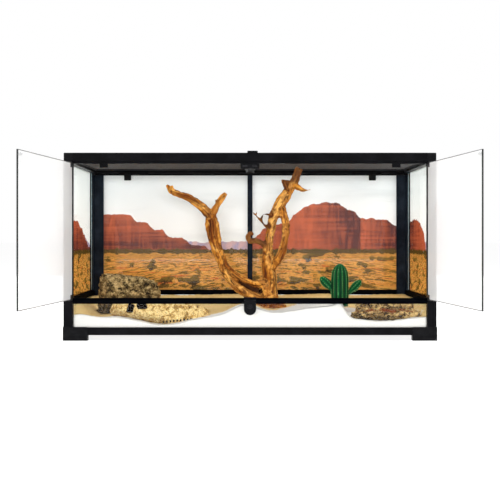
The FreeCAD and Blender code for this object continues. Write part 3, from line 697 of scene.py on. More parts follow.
    def ground(self, g: WallGraph) -> Socket:
        """Paint the ground, with scrub that grows toward the viewer.

        Args:
            g: the film's graph.

        Returns:
            The colour.
        """
        below = g.math("MAXIMUM", g.math("MULTIPLY", g.height, -1.0), 0.0)
        near = g.math("DIVIDE", 1.0, g.math("ADD", below, self.ground_near))
        deep = g.math("MULTIPLY", near, self.ground_depth)
        plane = g.add("CombineXYZ", {"X": g.math("MULTIPLY", g.along, near), "Y": deep}).outputs[0]
        soil = g.noise(plane, self.soil_scale, 6.0, 0.62, 0.5)
        streak = g.noise(g.stretch(plane, self.streak_squash), self.streak_scale, 3.0)
        colour = g.ramp(soil, (0.3, self.ground_low), (0.68, self.ground_high))
        colour = g.mix(g.step(streak, 0.54, 0.66), colour, self.ground_red)
        straw = g.noise(plane, self.straw_scale, 6.0, 0.75, 0.4)
        colour = g.mix(g.step(straw, 0.48, 0.58, 0.0, 0.9), colour, self.straw)
        tuft, behind = (g.noise(g.stretch(plane, SAME, ZERO, shift), self.tuft_scale, 4.0, 0.6, 0.3)
                        for shift in (ZERO, self.tuft_shadow))
        shadow = g.step(g.math("SUBTRACT", behind, tuft), 0.05, 0.12, 0.0, 0.8)
        colour = g.mix(shadow, colour, self.tuft_shade)
        clump = g.noise(plane, self.clump_scale, 6.0, 0.72, 0.3)
        leaf = self.leaves(g, g.noise(plane, self.clump_leaf, 5.0, 0.75), 0.38, 0.62)
        return g.mix(g.step(clump, 0.52, 0.56, 0.0, 0.95), colour, leaf)

    def shrubs(self, g: WallGraph, colour: Socket) -> Socket:
        """Set single shrubs on the ground, dark at the foot and olive at the top.

        Args:
            g: the film's graph.
            colour: the ground's colour.

        Returns:
            The colour.
        """
        blob, above = (g.noise(g.stretch(g.flat, self.shrub_squash, ZERO, shift), self.shrub_scale, 2.0, 0.5)
                       for shift in (ZERO, self.shrub_crown))
        leafy = g.noise(g.flat, self.shrub_leaf, 5.0, 0.75)
        ragged = g.math("ADD", blob, g.swing(leafy, 0.2))
        lit = g.step(g.math("SUBTRACT", blob, above), -0.05, 0.07, -0.14, 0.14)
        below = g.step(g.height, -0.006, 0.0, 1.0, 0.0)
        cover = g.math("MULTIPLY", g.step(ragged, 0.58, 0.61, 0.0, 0.97), below)
        return g.mix(cover, colour, self.leaves(g, g.math("ADD", leafy, lit), 0.46, 0.72))

    def hedge(self, g: WallGraph, colour: Socket) -> Socket:
        """Set a low line of scrub along the horizon.

        Args:
            g: the film's graph.
            colour: the colour behind it.

        Returns:
            The colour.
        """
        rise, cut = self.hedge_line
        top = g.math("SUBTRACT", g.math("MULTIPLY", g.noise(g.row, self.hedge_scale, 5.0, 0.7), rise), cut)
        off = g.math("ABSOLUTE", g.math("ADD", g.height, self.hedge_drop))
        leaf = self.leaves(g, g.noise(g.flat, self.hedge_leaf, 4.0, 0.7), 0.4, 0.68)
        return g.mix(g.math("LESS_THAN", off, top), colour, leaf)

    def picture(self, g: WallGraph) -> Socket:
        """Paint the whole scene, from the sky forward.

        Args:
            g: the film's graph.

        Returns:
            The colour.
        """
        colour = self.sky(g)
        far, haze = self.far_ridge(g)
        domes, light = self.dome_field(g)
        low_light = g.step(g.height, 0.0, 0.08, 0.2, 0.75)
        for line, paint in ((far, haze), (domes, self.rock(g, light)),
                            (self.terrace_line(g), self.rock(g, low_light))):
            colour = g.mix(g.math("GREATER_THAN", line, g.height), colour, paint)
        ground = self.shrubs(g, self.ground(g))
        return self.hedge(g, g.mix(g.math("LESS_THAN", g.height, 0.0), colour, ground))

    def material(self) -> bpy.types.Material:
        """Build the material.

        Returns:
            The material.
        """
        g = WallGraph(self.name, self.across, self.shift, self.horizon)
        colour = self.picture(g)
        inner = g.math("GREATER_THAN", g.facing(self.inside()), 0.5)
        worn = tuple(self.blank_worn * c for c in self.blank)
        paper = g.ramp(g.noise(g.place(), self.blank_scale, 5.0), (0.3, self.blank), (0.8, worn))
        shown = g.mix(inner, g.mix(self.ghost, paper, colour), colour)
        rough = g.step(g.noise(g.flat, self.gloss_scale), 0.3, 0.7, 0.32, 0.45)
        sheet = g.principled(Base_Color=shown, Roughness=rough)
        if self.through:
            glow = g.add("BsdfTranslucent", {"Color": shown})
            share = g.step(inner, 0.0, 1.0, self.back_through, self.through, "LINEAR")
            g.show(g.blend(share, sheet.outputs[0], glow.outputs[0]))
        return g.material

    def inside(self) -> Place:
        """Give the direction that the printed face looks."""
        return (0.0, self.inward, 0.0) if self.across is Axis.X else (self.inward, 0.0, 0.0)


@dataclass(frozen=True)
class LooseSand:
    """Dry sand: white where it lies against the front glass, tan behind, with single grains.

    Depths are along Y. The heap is where along X the tan starts, is full, fades and is gone.
    """

    name: str = "loose_sand"
    white: Colour = tone(240, 239, 235)
    tan: Colour = tone(242, 213, 146)
    damp: Colour = tone(224, 192, 126)
    white_depth: Span = (0.02, 0.12)
    heap: Tuple[float, float, float, float] = (0.05, 0.16, 0.3, 0.4)
    heap_depth: float = 0.2
    wall_tan: Span = (0.4, 0.43)
    wall_depth: Span = (0.004, 0.02)
    drift_scale: float = 12.0
    drift_size: float = 0.13
    mottle_scale: float = 130.0
    grain_scale: float = 1300.0
    grain_depth: float = 0.6 * MM
    lump_scale: float = 260.0
    lump_depth: float = 1.6 * MM

    def material(self) -> bpy.types.Material:
        """Build the material.

        Returns:
            The material.
        """
        g = Graph(self.name)
        point = g.place()
        inward = g.part(point, "Y")
        drift = g.swing(g.noise(point, self.drift_scale, 6.0, 0.65), self.drift_size)
        start, full, fading, gone = self.heap
        across = g.math("ADD", g.part(point, "X"), drift)
        heap = g.math("MULTIPLY", g.step(across, start, full), g.step(across, fading, gone, 1.0, 0.0))
        drift = g.math("SUBTRACT", drift, g.math("MULTIPLY", heap, self.heap_depth))
        back = g.step(g.math("ADD", inward, drift), *self.white_depth)
        beside = g.step(g.math("ABSOLUTE", across), *self.wall_tan)
        wall = g.math("MULTIPLY", beside, g.step(inward, *self.wall_depth))
        back = g.math("MAXIMUM", back, wall)
        mottle = g.ramp(g.noise(point, self.mottle_scale, 6.0, 0.7), (0.36, self.damp), (0.6, self.tan))
        grain = g.cells(point, self.grain_scale, "Color")
        fleck = g.add("SeparateColor", {"Color": grain}).outputs[0]
        mingle = g.step(g.math("SUBTRACT", back, g.math("MULTIPLY", fleck, 0.5)), 0.1, 0.4)
        colour = g.mix(mingle, self.white, mottle)
        colour = g.mix(g.step(fleck, 0.86, 1.0, 0.0, 0.35), colour, self.damp)
        lumps = g.bump(g.noise(point, self.lump_scale, 5.0, 0.7), 0.3, self.lump_depth)
        normal = g.bump(g.cells(point, self.grain_scale), 0.35, self.grain_depth, lumps)
        g.principled(Base_Color=colour, Roughness=0.95, Normal=normal, Specular_IOR_Level=0.2)
        return g.material


@dataclass(frozen=True)
class DryWood:
    """Barkless driftwood: long grain along each limb, pale ridges, dark checks, brown stubs and painted shade
    in the hollows.

    Scales are along the limb and across it both ways.
    """

    name: str = "dry_wood"
    pale: Colour = tone(242, 182, 94)
    warm: Colour = tone(214, 140, 50)
    deep: Colour = tone(134, 70, 20)
    check: Colour = tone(52, 29, 14)
    brown: Colour = tone(84, 46, 24)
    tip_height: Span = (0.383, 0.402)
    streaks: Place = (16.0, 170.0, 170.0)
    bands: Place = (7.0, 30.0, 30.0)
    fibres: Place = (60.0, 900.0, 900.0)
    splits: Place = (5.0, 80.0, 80.0)
    split_shift: Place = (2.0, 1.0, 3.0)
    dents: Place = (70.0, 120.0, 120.0)
    dent_shift: Place = (5.0, 2.0, 4.0)
    streak_depth: float = 2.2 * MM
    band_depth: float = 4.0 * MM
    fibre_depth: float = 0.4 * MM

    def material(self) -> bpy.types.Material:
        """Build the material.

        Returns:
            The material.
        """
        g = Graph(self.name)
        grain = g.attribute("grain", "Vector")
        streak = g.grain(grain, self.streaks, 5.0, 0.62, 0.4)
        broad = g.grain(grain, self.bands, 3.0, 0.5, 0.3)
        colour = g.ramp(broad, (0.36, self.deep), (0.46, self.warm), (0.62, self.pale))
        colour = g.mix(g.step(streak, 0.36, 0.47, 0.8, 0.0), colour, self.deep)
        colour = g.mix(g.step(streak, 0.52, 0.63, 0.0, 0.75), colour, self.pale)
        split = g.swing(g.grain(grain, self.splits, 4.0, 0.55, 0.6, self.split_shift), 1.0)
        colour = g.mix(g.step(g.math("ABSOLUTE", split), 0.005, 0.026, 0.9, 0.0), colour, self.check)
        dent = g.grain(grain, self.dents, 3.0, 0.5, 0.3, self.dent_shift)
        colour = g.mix(g.step(dent, 0.36, 0.43, 0.75, 0.0), colour, self.brown)
        # Painted shade: the wood is darkened where its relief sinks, in the hollows between knobs and gnarls.
        painted_hollow_shade = g.step(g.attribute("relief"), -0.6, -0.1, 0.55, 0.0)
        colour = g.mix(painted_hollow_shade, colour, self.deep, "MULTIPLY")
        # Darker brown towards the top: above tip_height the branch is mixed toward the stained colours, added
        # in with the limbs' stain.
        tip = g.step(g.part(g.place(), "Z"), *self.tip_height, 0.0, 0.88)
        stain = g.math("MAXIMUM", g.attribute("stain"), tip)
        stained = g.ramp(streak, (0.36, self.check), (0.5, self.brown), (0.74, self.deep))
        colour = g.mix(stain, colour, stained)
        # Painted shade: where the stain reaches 1, on the strand along the trunk, the wood goes near-black,
        # standing in for the shaded slit there.
        colour = g.mix(g.step(stain, 0.9, 1.0, 0.0, 0.85), colour, self.check)
        ridges = g.bump(streak, 0.7, self.streak_depth, g.bump(broad, 0.5, self.band_depth))
        normal = g.bump(g.grain(grain, self.fibres, 3.0), 0.25, self.fibre_depth, ridges)
        g.principled(Base_Color=colour, Roughness=g.step(broad, 0.3, 0.7, 0.72, 0.55), Normal=normal,
                     Specular_IOR_Level=0.25)
        return g.material


@dataclass(frozen=True)
class PaintedResin:
    """Painted cactus resin: deep green furrows, brighter ribs, brushed highlights."""

    name: str = "painted_cactus"
    furrow: Colour = tone(3, 42, 22)
    rib: Colour = tone(6, 92, 46)
    brushed: Colour = tone(96, 182, 110)
    strokes: Place = (260.0, 260.0, 60.0)
    brushing: float = 0.8
    grain_scale: float = 700.0
    grain_depth: float = 0.6 * MM

    def material(self) -> bpy.types.Material:
        """Build the material.

        Returns:
            The material.
        """
        g = Graph(self.name)
        point = g.place()
        crest = g.attribute("crest")
        brush = g.grain(point, self.strokes, 5.0, 0.65)
        colour = g.mix(g.step(crest, 0.2, 0.8), self.furrow, self.rib)
        dry = g.math("MULTIPLY", g.step(brush, 0.54, 0.7), g.step(crest, 0.6, 0.95))
        colour = g.mix(g.math("MULTIPLY", dry, self.brushing), colour, self.brushed)
        normal = g.bump(g.noise(point, self.grain_scale, 4.0), 0.25, self.grain_depth)
        g.principled(Base_Color=colour, Roughness=g.step(brush, 0.3, 0.7, 0.42, 0.6), Normal=normal,
                     Specular_IOR_Level=0.2)
        return g.material


@dataclass(frozen=True)
class StrawSpines:
    """Short moulded spines: green, and straw where the brush caught them."""

    name: str = "straw_spines"
    green: Colour = tone(74, 132, 70)
    straw: Colour = tone(168, 196, 130)
    brush_scale: float = 420.0
    grain_scale: float = 2400.0
    grain_depth: float = 0.1 * MM

    def material(self) -> bpy.types.Material:
        """Build the material.

        Returns:
            The material.
        """
        g = Graph(self.name)
        point = g.place()
        brush = g.noise(point, self.brush_scale, 4.0, 0.6)
        colour = g.ramp(brush, (0.36, self.green), (0.6, self.straw))
        normal = g.bump(g.noise(point, self.grain_scale, 2.0), 0.2, self.grain_depth)
        g.principled(Base_Color=colour, Roughness=g.step(brush, 0.3, 0.7, 0.7, 0.5), Normal=normal)
        return g.material


@dataclass(frozen=True)
class RoughStone:
    """Rough stone or cast: layered colours, dark pits, pale worn faces and an iron band.

    The iron band is its height and half its width. Painted shade darkens the stone below the first of the
    base shade heights and fades out above the second.
    """

    name: str
    pale: Colour
    body: Colour
    dark: Colour
    iron: Colour
    iron_height: Span
    layer: Place
    grit_scale: float = 105.0
    base_shade_height: Span = (0.05, 0.06)
    grit_depth: float = 5.5 * MM
    pit_scale: float = 110.0
    pit_squash: Place = (1.0, 1.0, 1.4)
    pit_depth: float = 4.5 * MM
    speck_scale: float = 480.0
    wander_scale: float = 30.0
    wander_size: float = 0.02
    break_scale: float = 46.0
    break_squash: Place = (1.0, 1.0, 2.0)

    def material(self) -> bpy.types.Material:
        """Build the material.

        Returns:
            The material.
        """
        g = Graph(self.name)
        point = g.place()
        wide = g.grain(point, self.layer, 6.0, 0.65, 0.7)
        grit = g.noise(point, self.grit_scale, 8.0, 0.68)
        speck = g.noise(point, self.speck_scale, 5.0, 0.7)
        colour = g.ramp(wide, (0.34, self.dark), (0.47, self.body), (0.64, self.pale))
        colour = g.mix(g.step(grit, 0.4, 0.49, 0.95, 0.0), colour, self.dark)
        colour = g.mix(g.step(grit, 0.52, 0.62, 0.0, 0.9), colour, self.pale)
        colour = g.mix(g.step(speck, 0.38, 0.47, 0.75, 0.0), colour, self.dark)
        wander = g.swing(g.noise(point, self.wander_scale, 4.0), self.wander_size)
        level = g.math("ADD", g.part(point, "Z"), wander)
        middle, half = self.iron_height
        band = g.step(g.math("ABSOLUTE", g.math("SUBTRACT", level, middle)), 0.35 * half, half, 0.8, 0.0)
        patchy = g.noise(g.stretch(point, self.break_squash), self.break_scale, 4.0, 0.6)
        colour = g.mix(g.math("MULTIPLY", band, g.step(patchy, 0.42, 0.56)), colour, self.iron)
        # Painted shade: the stone is darkened towards its base, fully below the first base shade height and
        # fading out by the second.
        colour = g.mix(g.step(level, *self.base_shade_height, 0.75, 0.0), colour, self.dark)
        pits = g.bump(g.cells(g.stretch(point, self.pit_squash), self.pit_scale), 0.6, self.pit_depth)
        relief = g.bump(grit, 0.95, self.grit_depth, pits)
        g.principled(Base_Color=colour, Roughness=0.9, Normal=relief, Specular_IOR_Level=0.25)
        return g.material


@dataclass(frozen=True)
class CastBone:
    """Cast bone: cream with ochre wash in the low places, and painted shade in the openings and along the
    lower part.
    """

    name: str = "cast_bone"
    cream: Colour = tone(246, 222, 158)
    wash: Colour = tone(198, 156, 84)
    dirt_and_shade: Colour = tone(96, 68, 36)
    painted_hollow_shade: Colour = tone(20, 13, 9)
    stain_scale: float = 95.0
    stain_depth: float = 3.0 * MM
    pores: Place = (240.0, 420.0, 420.0)
    pore_depth: float = 1.2 * MM
    speck_scale: float = 150.0
    speck_squash: Place = (1.0, 1.0, 1.5)

    def material(self) -> bpy.types.Material:
        """Build the material.

        Returns:
            The material.
        """
        g = Graph(self.name)
        point = g.place()
        stain = g.noise(point, self.stain_scale, 6.0, 0.7, 0.6)
        pore = g.grain(point, self.pores, 5.0, 0.75)
        colour = g.ramp(stain, (0.38, self.dirt_and_shade), (0.46, self.wash), (0.53, self.cream))
        colour = g.mix(g.step(pore, 0.4, 0.52, 0.9, 0.0), colour, self.wash)
        # Painted shade along the skull's lower part, mixed toward the dirt colour, which also serves the real
        # stains and specks.
        low = g.math("MULTIPLY", g.attribute("low_shade"), g.step(pore, 0.3, 0.62, 1.0, 0.3))
        colour = g.mix(low, colour, self.dirt_and_shade)
        speck = g.noise(g.stretch(point, self.speck_squash), self.speck_scale, 6.0, 0.75, 0.4)
        colour = g.mix(g.step(speck, 0.52, 0.64, 0.0, 0.65), colour, self.dirt_and_shade)
        # Painted shade: the openings marked as cavity are painted near-black inside.
        cavity = g.attribute("cavity")
        colour = g.mix(cavity, colour, self.painted_hollow_shade)
        normal = g.bump(pore, 0.5, self.pore_depth, g.bump(stain, 0.4, self.stain_depth))
        g.principled(Base_Color=colour, Roughness=0.85, Normal=normal,
                     Specular_IOR_Level=g.step(cavity, 0.0, 0.5, 0.15, 0.0))
        return g.material


@dataclass(frozen=True)
class ClearBead:
    """Silicone bead, with its pale, faintly blue colour a painted highlight along the rear posts."""

    name: str = "clear_bead"
    bead_glint_blue: Colour = tone(150, 178, 186)
    bead_glint_pale: Colour = tone(186, 204, 208)
    cloud_scale: float = 90.0

    def material(self) -> bpy.types.Material:
        """Build the material.

        Returns:
            The material.
        """
        g = Graph(self.name)
        cloud = g.noise(g.place(), self.cloud_scale, 5.0)
        # A real silicone bead, painted pale as the painted highlight on the post edge.
        colour = g.ramp(cloud, (0.35, self.bead_glint_blue), (0.7, self.bead_glint_pale))
        g.principled(Base_Color=colour, Roughness=g.step(cloud, 0.3, 0.7, 0.2, 0.35))
        return g.material


def dress(node: str, material: bpy.types.Material) -> None:
    """Give a CAD node its finish.

    Args:
        node: the node's name.
        material: the finish.
    """
    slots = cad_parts[node].data.materials
    slots.clear()
    slots.append(material)
    log.info("dressed %s with %s", node, material.name)


def add_piece(name: str, mesh: bpy.types.Mesh, body: str, material: bpy.types.Material,
              stands_for: Sequence[str] = ()) -> None:
    """Put a made mesh into the scene.

    Args:
        name: the piece's name.
        mesh: its mesh.
        body: the body it rides on.
        material: its finish.
        stands_for: CAD nodes that it replaces.
    """
    piece = bpy.data.objects.new(name, mesh)
    bpy.context.scene.collection.objects.link(piece)
    mesh.materials.clear()
    mesh.materials.append(material)
    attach(piece, body)
    if stands_for:
        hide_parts(*stands_for)
    log.info("made %s: %d faces", name, len(mesh.polygons))


class Skin:
    """Points and faces of a mesh in the making."""

    def __init__(self) -> None:
        """Start with nothing."""
        self.points: List[Place] = []
        self.faces: List[Face] = []

    def add(self, points: Iterable[Sequence[float]], faces: Iterable[Face]) -> None:
        """Add points, and faces that number those points from 0.

        Args:
            points: places in metres.
            faces: lists of point numbers.
        """
        base = len(self.points)
        self.points.extend(tuple(p) for p in points)
        self.faces.extend(tuple(base + i for i in face) for face in faces)

    def tube(self, rings: Sequence[Sequence[Sequence[float]]]) -> None:
        """Add a tube through rings of points, closed at both ends.

        Args:
            rings: the points of each ring, as many in each.
        """
        n, last = len(rings[0]), len(rings) - 1
        faces = [(k * n + i, k * n + (i + 1) % n, (k + 1) * n + (i + 1) % n, (k + 1) * n + i)
                 for k in range(last) for i in range(n)]
        faces += [tuple(reversed(range(n))), tuple(range(last * n, (last + 1) * n))]
        self.add([point for ring in rings for point in ring], faces)

    def mesh(self, name: str) -> bpy.types.Mesh:
        """Make the mesh.

        Args:
            name: its name.

        Returns:
            The mesh.
        """
        mesh = bpy.data.meshes.new(name)
        mesh.from_pydata(self.points, [], self.faces)
        mesh.update()
        return mesh


def remeshed(mesh: bpy.types.Mesh, voxel: float, soften: int) -> bpy.types.Mesh:
    """Rebuild a closed mesh in even small faces.

    Args:
        mesh: the mesh, which is left as it is.
        voxel: size of the faces in metres.
        soften: rounds of smoothing.

    Returns:
        The new mesh.
    """
    holder = bpy.data.objects.new("holder", mesh.copy())
    bpy.context.scene.collection.objects.link(holder)
    grid = holder.modifiers.new("voxels", "REMESH")
    grid.mode = "VOXEL"
    grid.voxel_size = voxel
    grid.use_smooth_shade = True
    smooth = holder.modifiers.new("soften", "SMOOTH")
    smooth.factor = 0.5
    smooth.iterations = soften
    graph = bpy.context.evaluated_depsgraph_get()
    made = bpy.data.meshes.new_from_object(holder.evaluated_get(graph))
    bpy.data.objects.remove(holder)
    return made


def node_copy(node: str, voxel: float, soften: int = 2) -> bpy.types.Mesh:
    """Copy a CAD node's mesh, rebuilt in even small faces."""
    return remeshed(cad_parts[node].data, voxel, soften)


def vertices(mesh: bpy.types.Mesh) -> Tuple[np.ndarray, np.ndarray]:
    """Read a mesh's points and normals.

    Args:
        mesh: the mesh.

    Returns:
        Two arrays of one row per point.
    """
    count = len(mesh.vertices)
    points = np.empty(3 * count, np.float32)
    normals = np.empty(3 * count, np.float32)
    mesh.vertices.foreach_get("co", points)
    mesh.vertex_normals.foreach_get("vector", normals)
    return points.reshape(-1, 3), normals.reshape(-1, 3)


def set_points(mesh: bpy.types.Mesh, points: np.ndarray) -> None:
    """Write a mesh's points back, one row per point."""
    mesh.vertices.foreach_set("co", points.astype(np.float32).ravel())
    mesh.update()


def carve(mesh: bpy.types.Mesh, depth: Callable[[Vector], float]) -> None:
    """Move each point of a mesh inward along its normal.

    Args:
        mesh: the mesh.
        depth: gives how far, in metres, for a point's place.
    """
    points, normals = vertices(mesh)
    for i, place in enumerate(points):
        points[i] -= normals[i] * depth(Vector(place))
    set_points(mesh, points)


def set_numbers(mesh: bpy.types.Mesh, name: str, numbers: np.ndarray) -> None:
    """Store a number or a vector on each point, for the finish.

    Args:
        mesh: the mesh.
        name: the attribute's name.
        numbers: one number, or one row of three, per point.
    """
    vector = numbers.ndim == 2
    layer = mesh.attributes.new(name, "FLOAT_VECTOR" if vector else "FLOAT", "POINT")
    layer.data.foreach_set("vector" if vector else "value", numbers.astype(np.float32).ravel())


def square_to(way: Vector) -> Tuple[Vector, Vector]:
    """Give two directions square to a line and to each other."""
    first = way.cross(Vector((0, 1, 0))).normalized()
    return first, way.cross(first).normalized()


def clamped(share: float) -> float:
    """Keep a share between 0 and 1."""
    return min(1.0, max(0.0, share))


@dataclass
class CabinetFrame:
    """Rails, posts, feet, corner blocks, cross bar and their screws."""

    levels: Tuple[str, ...] = ("base_rail", "sill_rail", "top_rail")
    sides: Tuple[str, ...] = ("front", "rear", "left", "right")
    corners: Tuple[str, ...] = ("front_left", "front_right", "rear_left", "rear_right")
    drawn_up: Place = (900.0, 900.0, 30.0)

    def dress(self) -> None:
        """Give each frame node its finish."""
        upright = SatinBlack("satin_black_posts", tone(16, 21, 29), tone(34, 41, 51),
                             self.drawn_up).material()
        front = SatinBlack("satin_black_front_posts", tone(7, 7, 10), tone(18, 18, 22),
                           self.drawn_up).material()
        level = SatinBlack().material()
        sill = SatinBlack("satin_black_sills", tone(5, 6, 9), tone(11, 12, 16), roughness=(0.5, 0.62),
                          shine=0.004).material()
        moulded = MouldedBlack().material()
        for word in self.levels:
            for side in self.sides:
                dress(f"{word}_{side}", sill if word == "sill_rail" else level)
        for corner in self.corners:
            dress(f"post_{corner}", front if corner.startswith("front") else upright)
            dress(f"foot_{corner}", moulded)
            dress(f"top_corner_{corner}", moulded)
        dress("post_rear_center", upright)
        dress("cross_bar", level)
        dress("cross_bar_clips", moulded)
        dress("corner_screws", PlatedSteel("zinc_screws").material())


@dataclass
class Glazing:
    """Fixed panes, printed films and the beads along the rear posts."""

    bead_width: float = 1.4 * MM
    bead_proud: float = 0.8 * MM
    bead_inset: float = 7.8 * MM
    bead_gap: float = 0.2 * MM
    bead_steps: int = 7
    films: Tuple[DesertPrint, ...] = (
        DesertPrint("desert_rear", Axis.X, -1.0, terrace=(-0.42, 0.1), ghost=0.16,
                    domes=((0.1, 0.1, 0.075), (0.215, 0.13, 0.135), (0.345, 0.12, 0.09))),
        DesertPrint("desert_left", Axis.Y, 1.0, ((0.1, 0.12, 0.04),), (0.1, 0.08), shift=-0.05, through=0.85,
                    back_through=0.5),
        DesertPrint("desert_right", Axis.Y, -1.0, ((0.38, 0.2, 0.085),), (-1.0, 0.05), shift=0.04,
                    through=0.85, back_through=0.5))

    def dress(self) -> None:
        """Give panes and films their finishes."""
        facing_front = PaneGlass("glass_front_rear", Axis.Y.value).material()
        facing_side = PaneGlass("glass_sides", Axis.X.value, slant_mirror=0.12).material()
        for node in ("lower_pane_front", "lower_pane_rear", "upper_pane_rear"):
            dress(node, facing_front)
        for node in ("lower_panes_side", "upper_pane_left", "upper_pane_right"):
            dress(node, facing_side)
        dress("floor_pane", PaneGlass("glass_floor", Axis.Z.value).material())
        for film, side in zip(self.films, ("rear", *HANDS)):
            dress("backdrop_" + side, film.material())

    def build(self) -> None:
        """Lay a half-round bead along the front edge of each rear post."""
        finish = ClearBead().material()
        angles = [math.pi * i / (self.bead_steps - 1) for i in range(self.bead_steps)]
        for side, sign in zip(HANDS, (-1, 1)):
            low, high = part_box("post_rear_" + side)
            outer = low.x if sign < 0 else high.x
            middle = outer - sign * (self.bead_inset + self.bead_width / 2)
            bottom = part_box("sill_rail_" + side)[1].z + self.bead_gap
            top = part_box("top_rail_" + side)[0].z - self.bead_gap
            bead = Skin()
            bead.tube([[(middle + math.cos(a) * self.bead_width / 2, low.y - math.sin(a) * self.bead_proud, z)
                        for a in angles] for z in (bottom, top)])
            add_piece("seal_bead_" + side, bead.mesh("seal_bead_" + side), CABINET, finish)


@dataclass
class Doors:
    """Two swinging panes with their corner fittings, catch and bushes."""

    open_deg: float = 95.5
    arris: float = 2.0 * MM
    dust: float = 0.69

    def dress(self) -> None:
        """Give the doors' nodes their finishes."""
        fitted = DoorSteel().material()
        for side, sign in zip(HANDS, (-1, 1)):
            turn = math.radians(sign * self.open_deg)
            way = (-math.sin(turn), math.cos(turn), 0.0)
            low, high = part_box("door_pane_" + side)
            glass = PaneGlass("glass_door_" + side, way, edge=tone(28, 31, 31), dust=self.dust,
                              slant_mirror=0.6, arris=self.arris, span=(low.z, high.z))
            dress("door_pane_" + side, glass.material())
            dress("door_fittings_" + side, fitted)
        nylon = MouldedBlack("black_nylon", tone(26, 26, 27), tone(38, 38, 39), 2200.0, 0.0001)
        dress("door_bushes", nylon.material())
        dress("door_catch", MouldedBlack("catch_plastic").material())
        dress("door_magnets", PlatedSteel("plated_magnet", tone(52, 52, 54), tone(30, 30, 31)).material())


@dataclass
class KeyLock:
    """Lock on the front sill: housing, key plug and bolt."""

    def dress(self) -> None:
        """Give the lock's nodes their finishes."""
        casting = MouldedBlack("black_casting", tone(8, 8, 11), tone(24, 24, 28), 700.0, 0.0004, (0.34, 0.5))
        dress("lock_housing", casting.material())
        dress("lock_plug", PlatedSteel("plug_plating", tone(40, 40, 43), tone(26, 26, 28)).material())
        dress("lock_bolt", PlatedSteel("bolt_plating").material())


@dataclass
class ScreenTop:
    """Lift-out screens: grey channel frames with wire cloth."""

    pitch: float = 2.8 * MM
    wire: float = 0.62 * MM

    def strand(self, cloth: Skin, start: Vector, end: Vector) -> None:
        """Add one straight wire of square section set on edge.

        Args:
            cloth: the mesh in the making.
            start: one end.
            end: the other end.
        """
        side = (end - start).normalized().cross(UP) * (self.wire / 2)
        rise = UP * (self.wire / 2)
        cloth.tube([[place + way for way in (side, rise, -side, -rise)] for place in (start, end)])

    def wires(self, node: str) -> bpy.types.Mesh:
        """Make the wire cloth that fills one screen.

        Args:
            node: the CAD node it stands for.

        Returns:
            The mesh.
        """
        low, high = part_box(node)
        middle = (low.z + high.z) / 2
        cloth = Skin()
        for axis, lift in ((0, -self.wire / 3), (1, self.wire / 3)):
            run = high[axis] - low[axis]
            count = int(run / self.pitch)
            for i in range(1, count):
                start, end = Vector(low), Vector(high)
                start[axis] = end[axis] = low[axis] + run * i / count
                start.z = end.z = middle + lift
                self.strand(cloth, start, end)
        return cloth.mesh("wire_cloth")

    def build(self) -> None:
        """Make both wire cloths and dress both frames."""
        coated = MouldedBlack("coated_wire", tone(112, 114, 118), tone(138, 140, 143), 3000.0, 0.00005,
                              (0.4, 0.55)).material()
        channel = SatinBlack("grey_channel", tone(56, 57, 60), tone(74, 75, 78)).material()
        for side in HANDS:
            node = "screen_mesh_" + side
            add_piece("wire_cloth_" + side, self.wires(node), side + "_screen", coated, [node])
            dress("screen_frame_" + side, channel)


@dataclass
class CableGates:
    """Sliding gates in the rear ledge."""

    def dress(self) -> None:
        """Give the gates their finish."""
        finish = MouldedBlack("gate_plastic", tone(18, 18, 19), tone(34, 34, 35)).material()
        for side in HANDS:
            dress("cable_gate_" + side, finish)


@dataclass
class SandBed:
    """Bed of sand with mounds, banks, small lumps and ripples on its top.

    Each mound is its place along X and Y, its rise (below zero for a scoop), width and depth, in metres.
    """

    voxel: float = 3.6 * MM
    soften: int = 3
    upward: float = 0.3
    lump: float = 1.1 * MM
    lump_scale: float = 95.0
    lump_kind: Tuple[float, float, int] = (0.8, 2.0, 4)
    ripple: float = 0.8 * MM
    ripple_scale: float = 26.0
    mounds: Tuple[Tuple[float, float, float, float, float], ...] = (
        (-0.388, 0.075, -0.017, 0.034, 0.055), (0.222, 0.035, 0.014, 0.018, 0.04),
        (-0.41, 0.0, 0.007, 0.035, 0.03))
    bank_top: float = 88.5 * MM
    bank_run: Span = (10.0 * MM, 48.0 * MM)
    bank_start: Span = (0.05, 0.11)

    def build(self) -> None:
        """Rebuild the sand, shape it against the stones and walls and roughen its top."""
        low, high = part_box("sand_bed")
        mesh = node_copy("sand_bed", self.voxel, self.soften)
        points, normals = vertices(mesh)
        for i in np.nonzero(normals[:, 2] > self.upward)[0]:
            at = Vector(points[i])
            fine = noise.fractal(at * self.lump_scale, *self.lump_kind)
            wide = noise.noise(at * self.ripple_scale)
            at.z += self.heaped(at)
            wall = min(high.x - at.x, at.x - low.x, high.y - at.y)
            points[i, 2] = self.banked(at, wall) + self.lump * fine + self.ripple * wide - self.ripple
        set_points(mesh, points)
        add_piece("sand", mesh, CABINET, LooseSand().material(), ["sand_bed"])

    def heaped(self, at: Vector) -> float:
        """Give how far the mounds raise the sand at a place, or the scoops lower it, in metres."""
        return sum(rise * math.exp(-((at.x - x) / wide) ** 2 - ((at.y - y) / deep) ** 2)
                   for x, y, rise, wide, deep in self.mounds)

    def banked(self, at: Vector, wall: float) -> float:
        """Give the height of the sand where it banks up against the side and rear walls.

        Args:
            at: the place.
            wall: distance to the nearest of those walls in metres.

        Returns:
            The height in metres.
        """
        near, far = self.bank_run
        start, full = self.bank_start
        share = clamped((far - wall) / (far - near)) * clamped((at.y - start) / (full - start))
        return at.z + (max(at.z, self.bank_top) - at.z) * share * share * (3 - 2 * share)


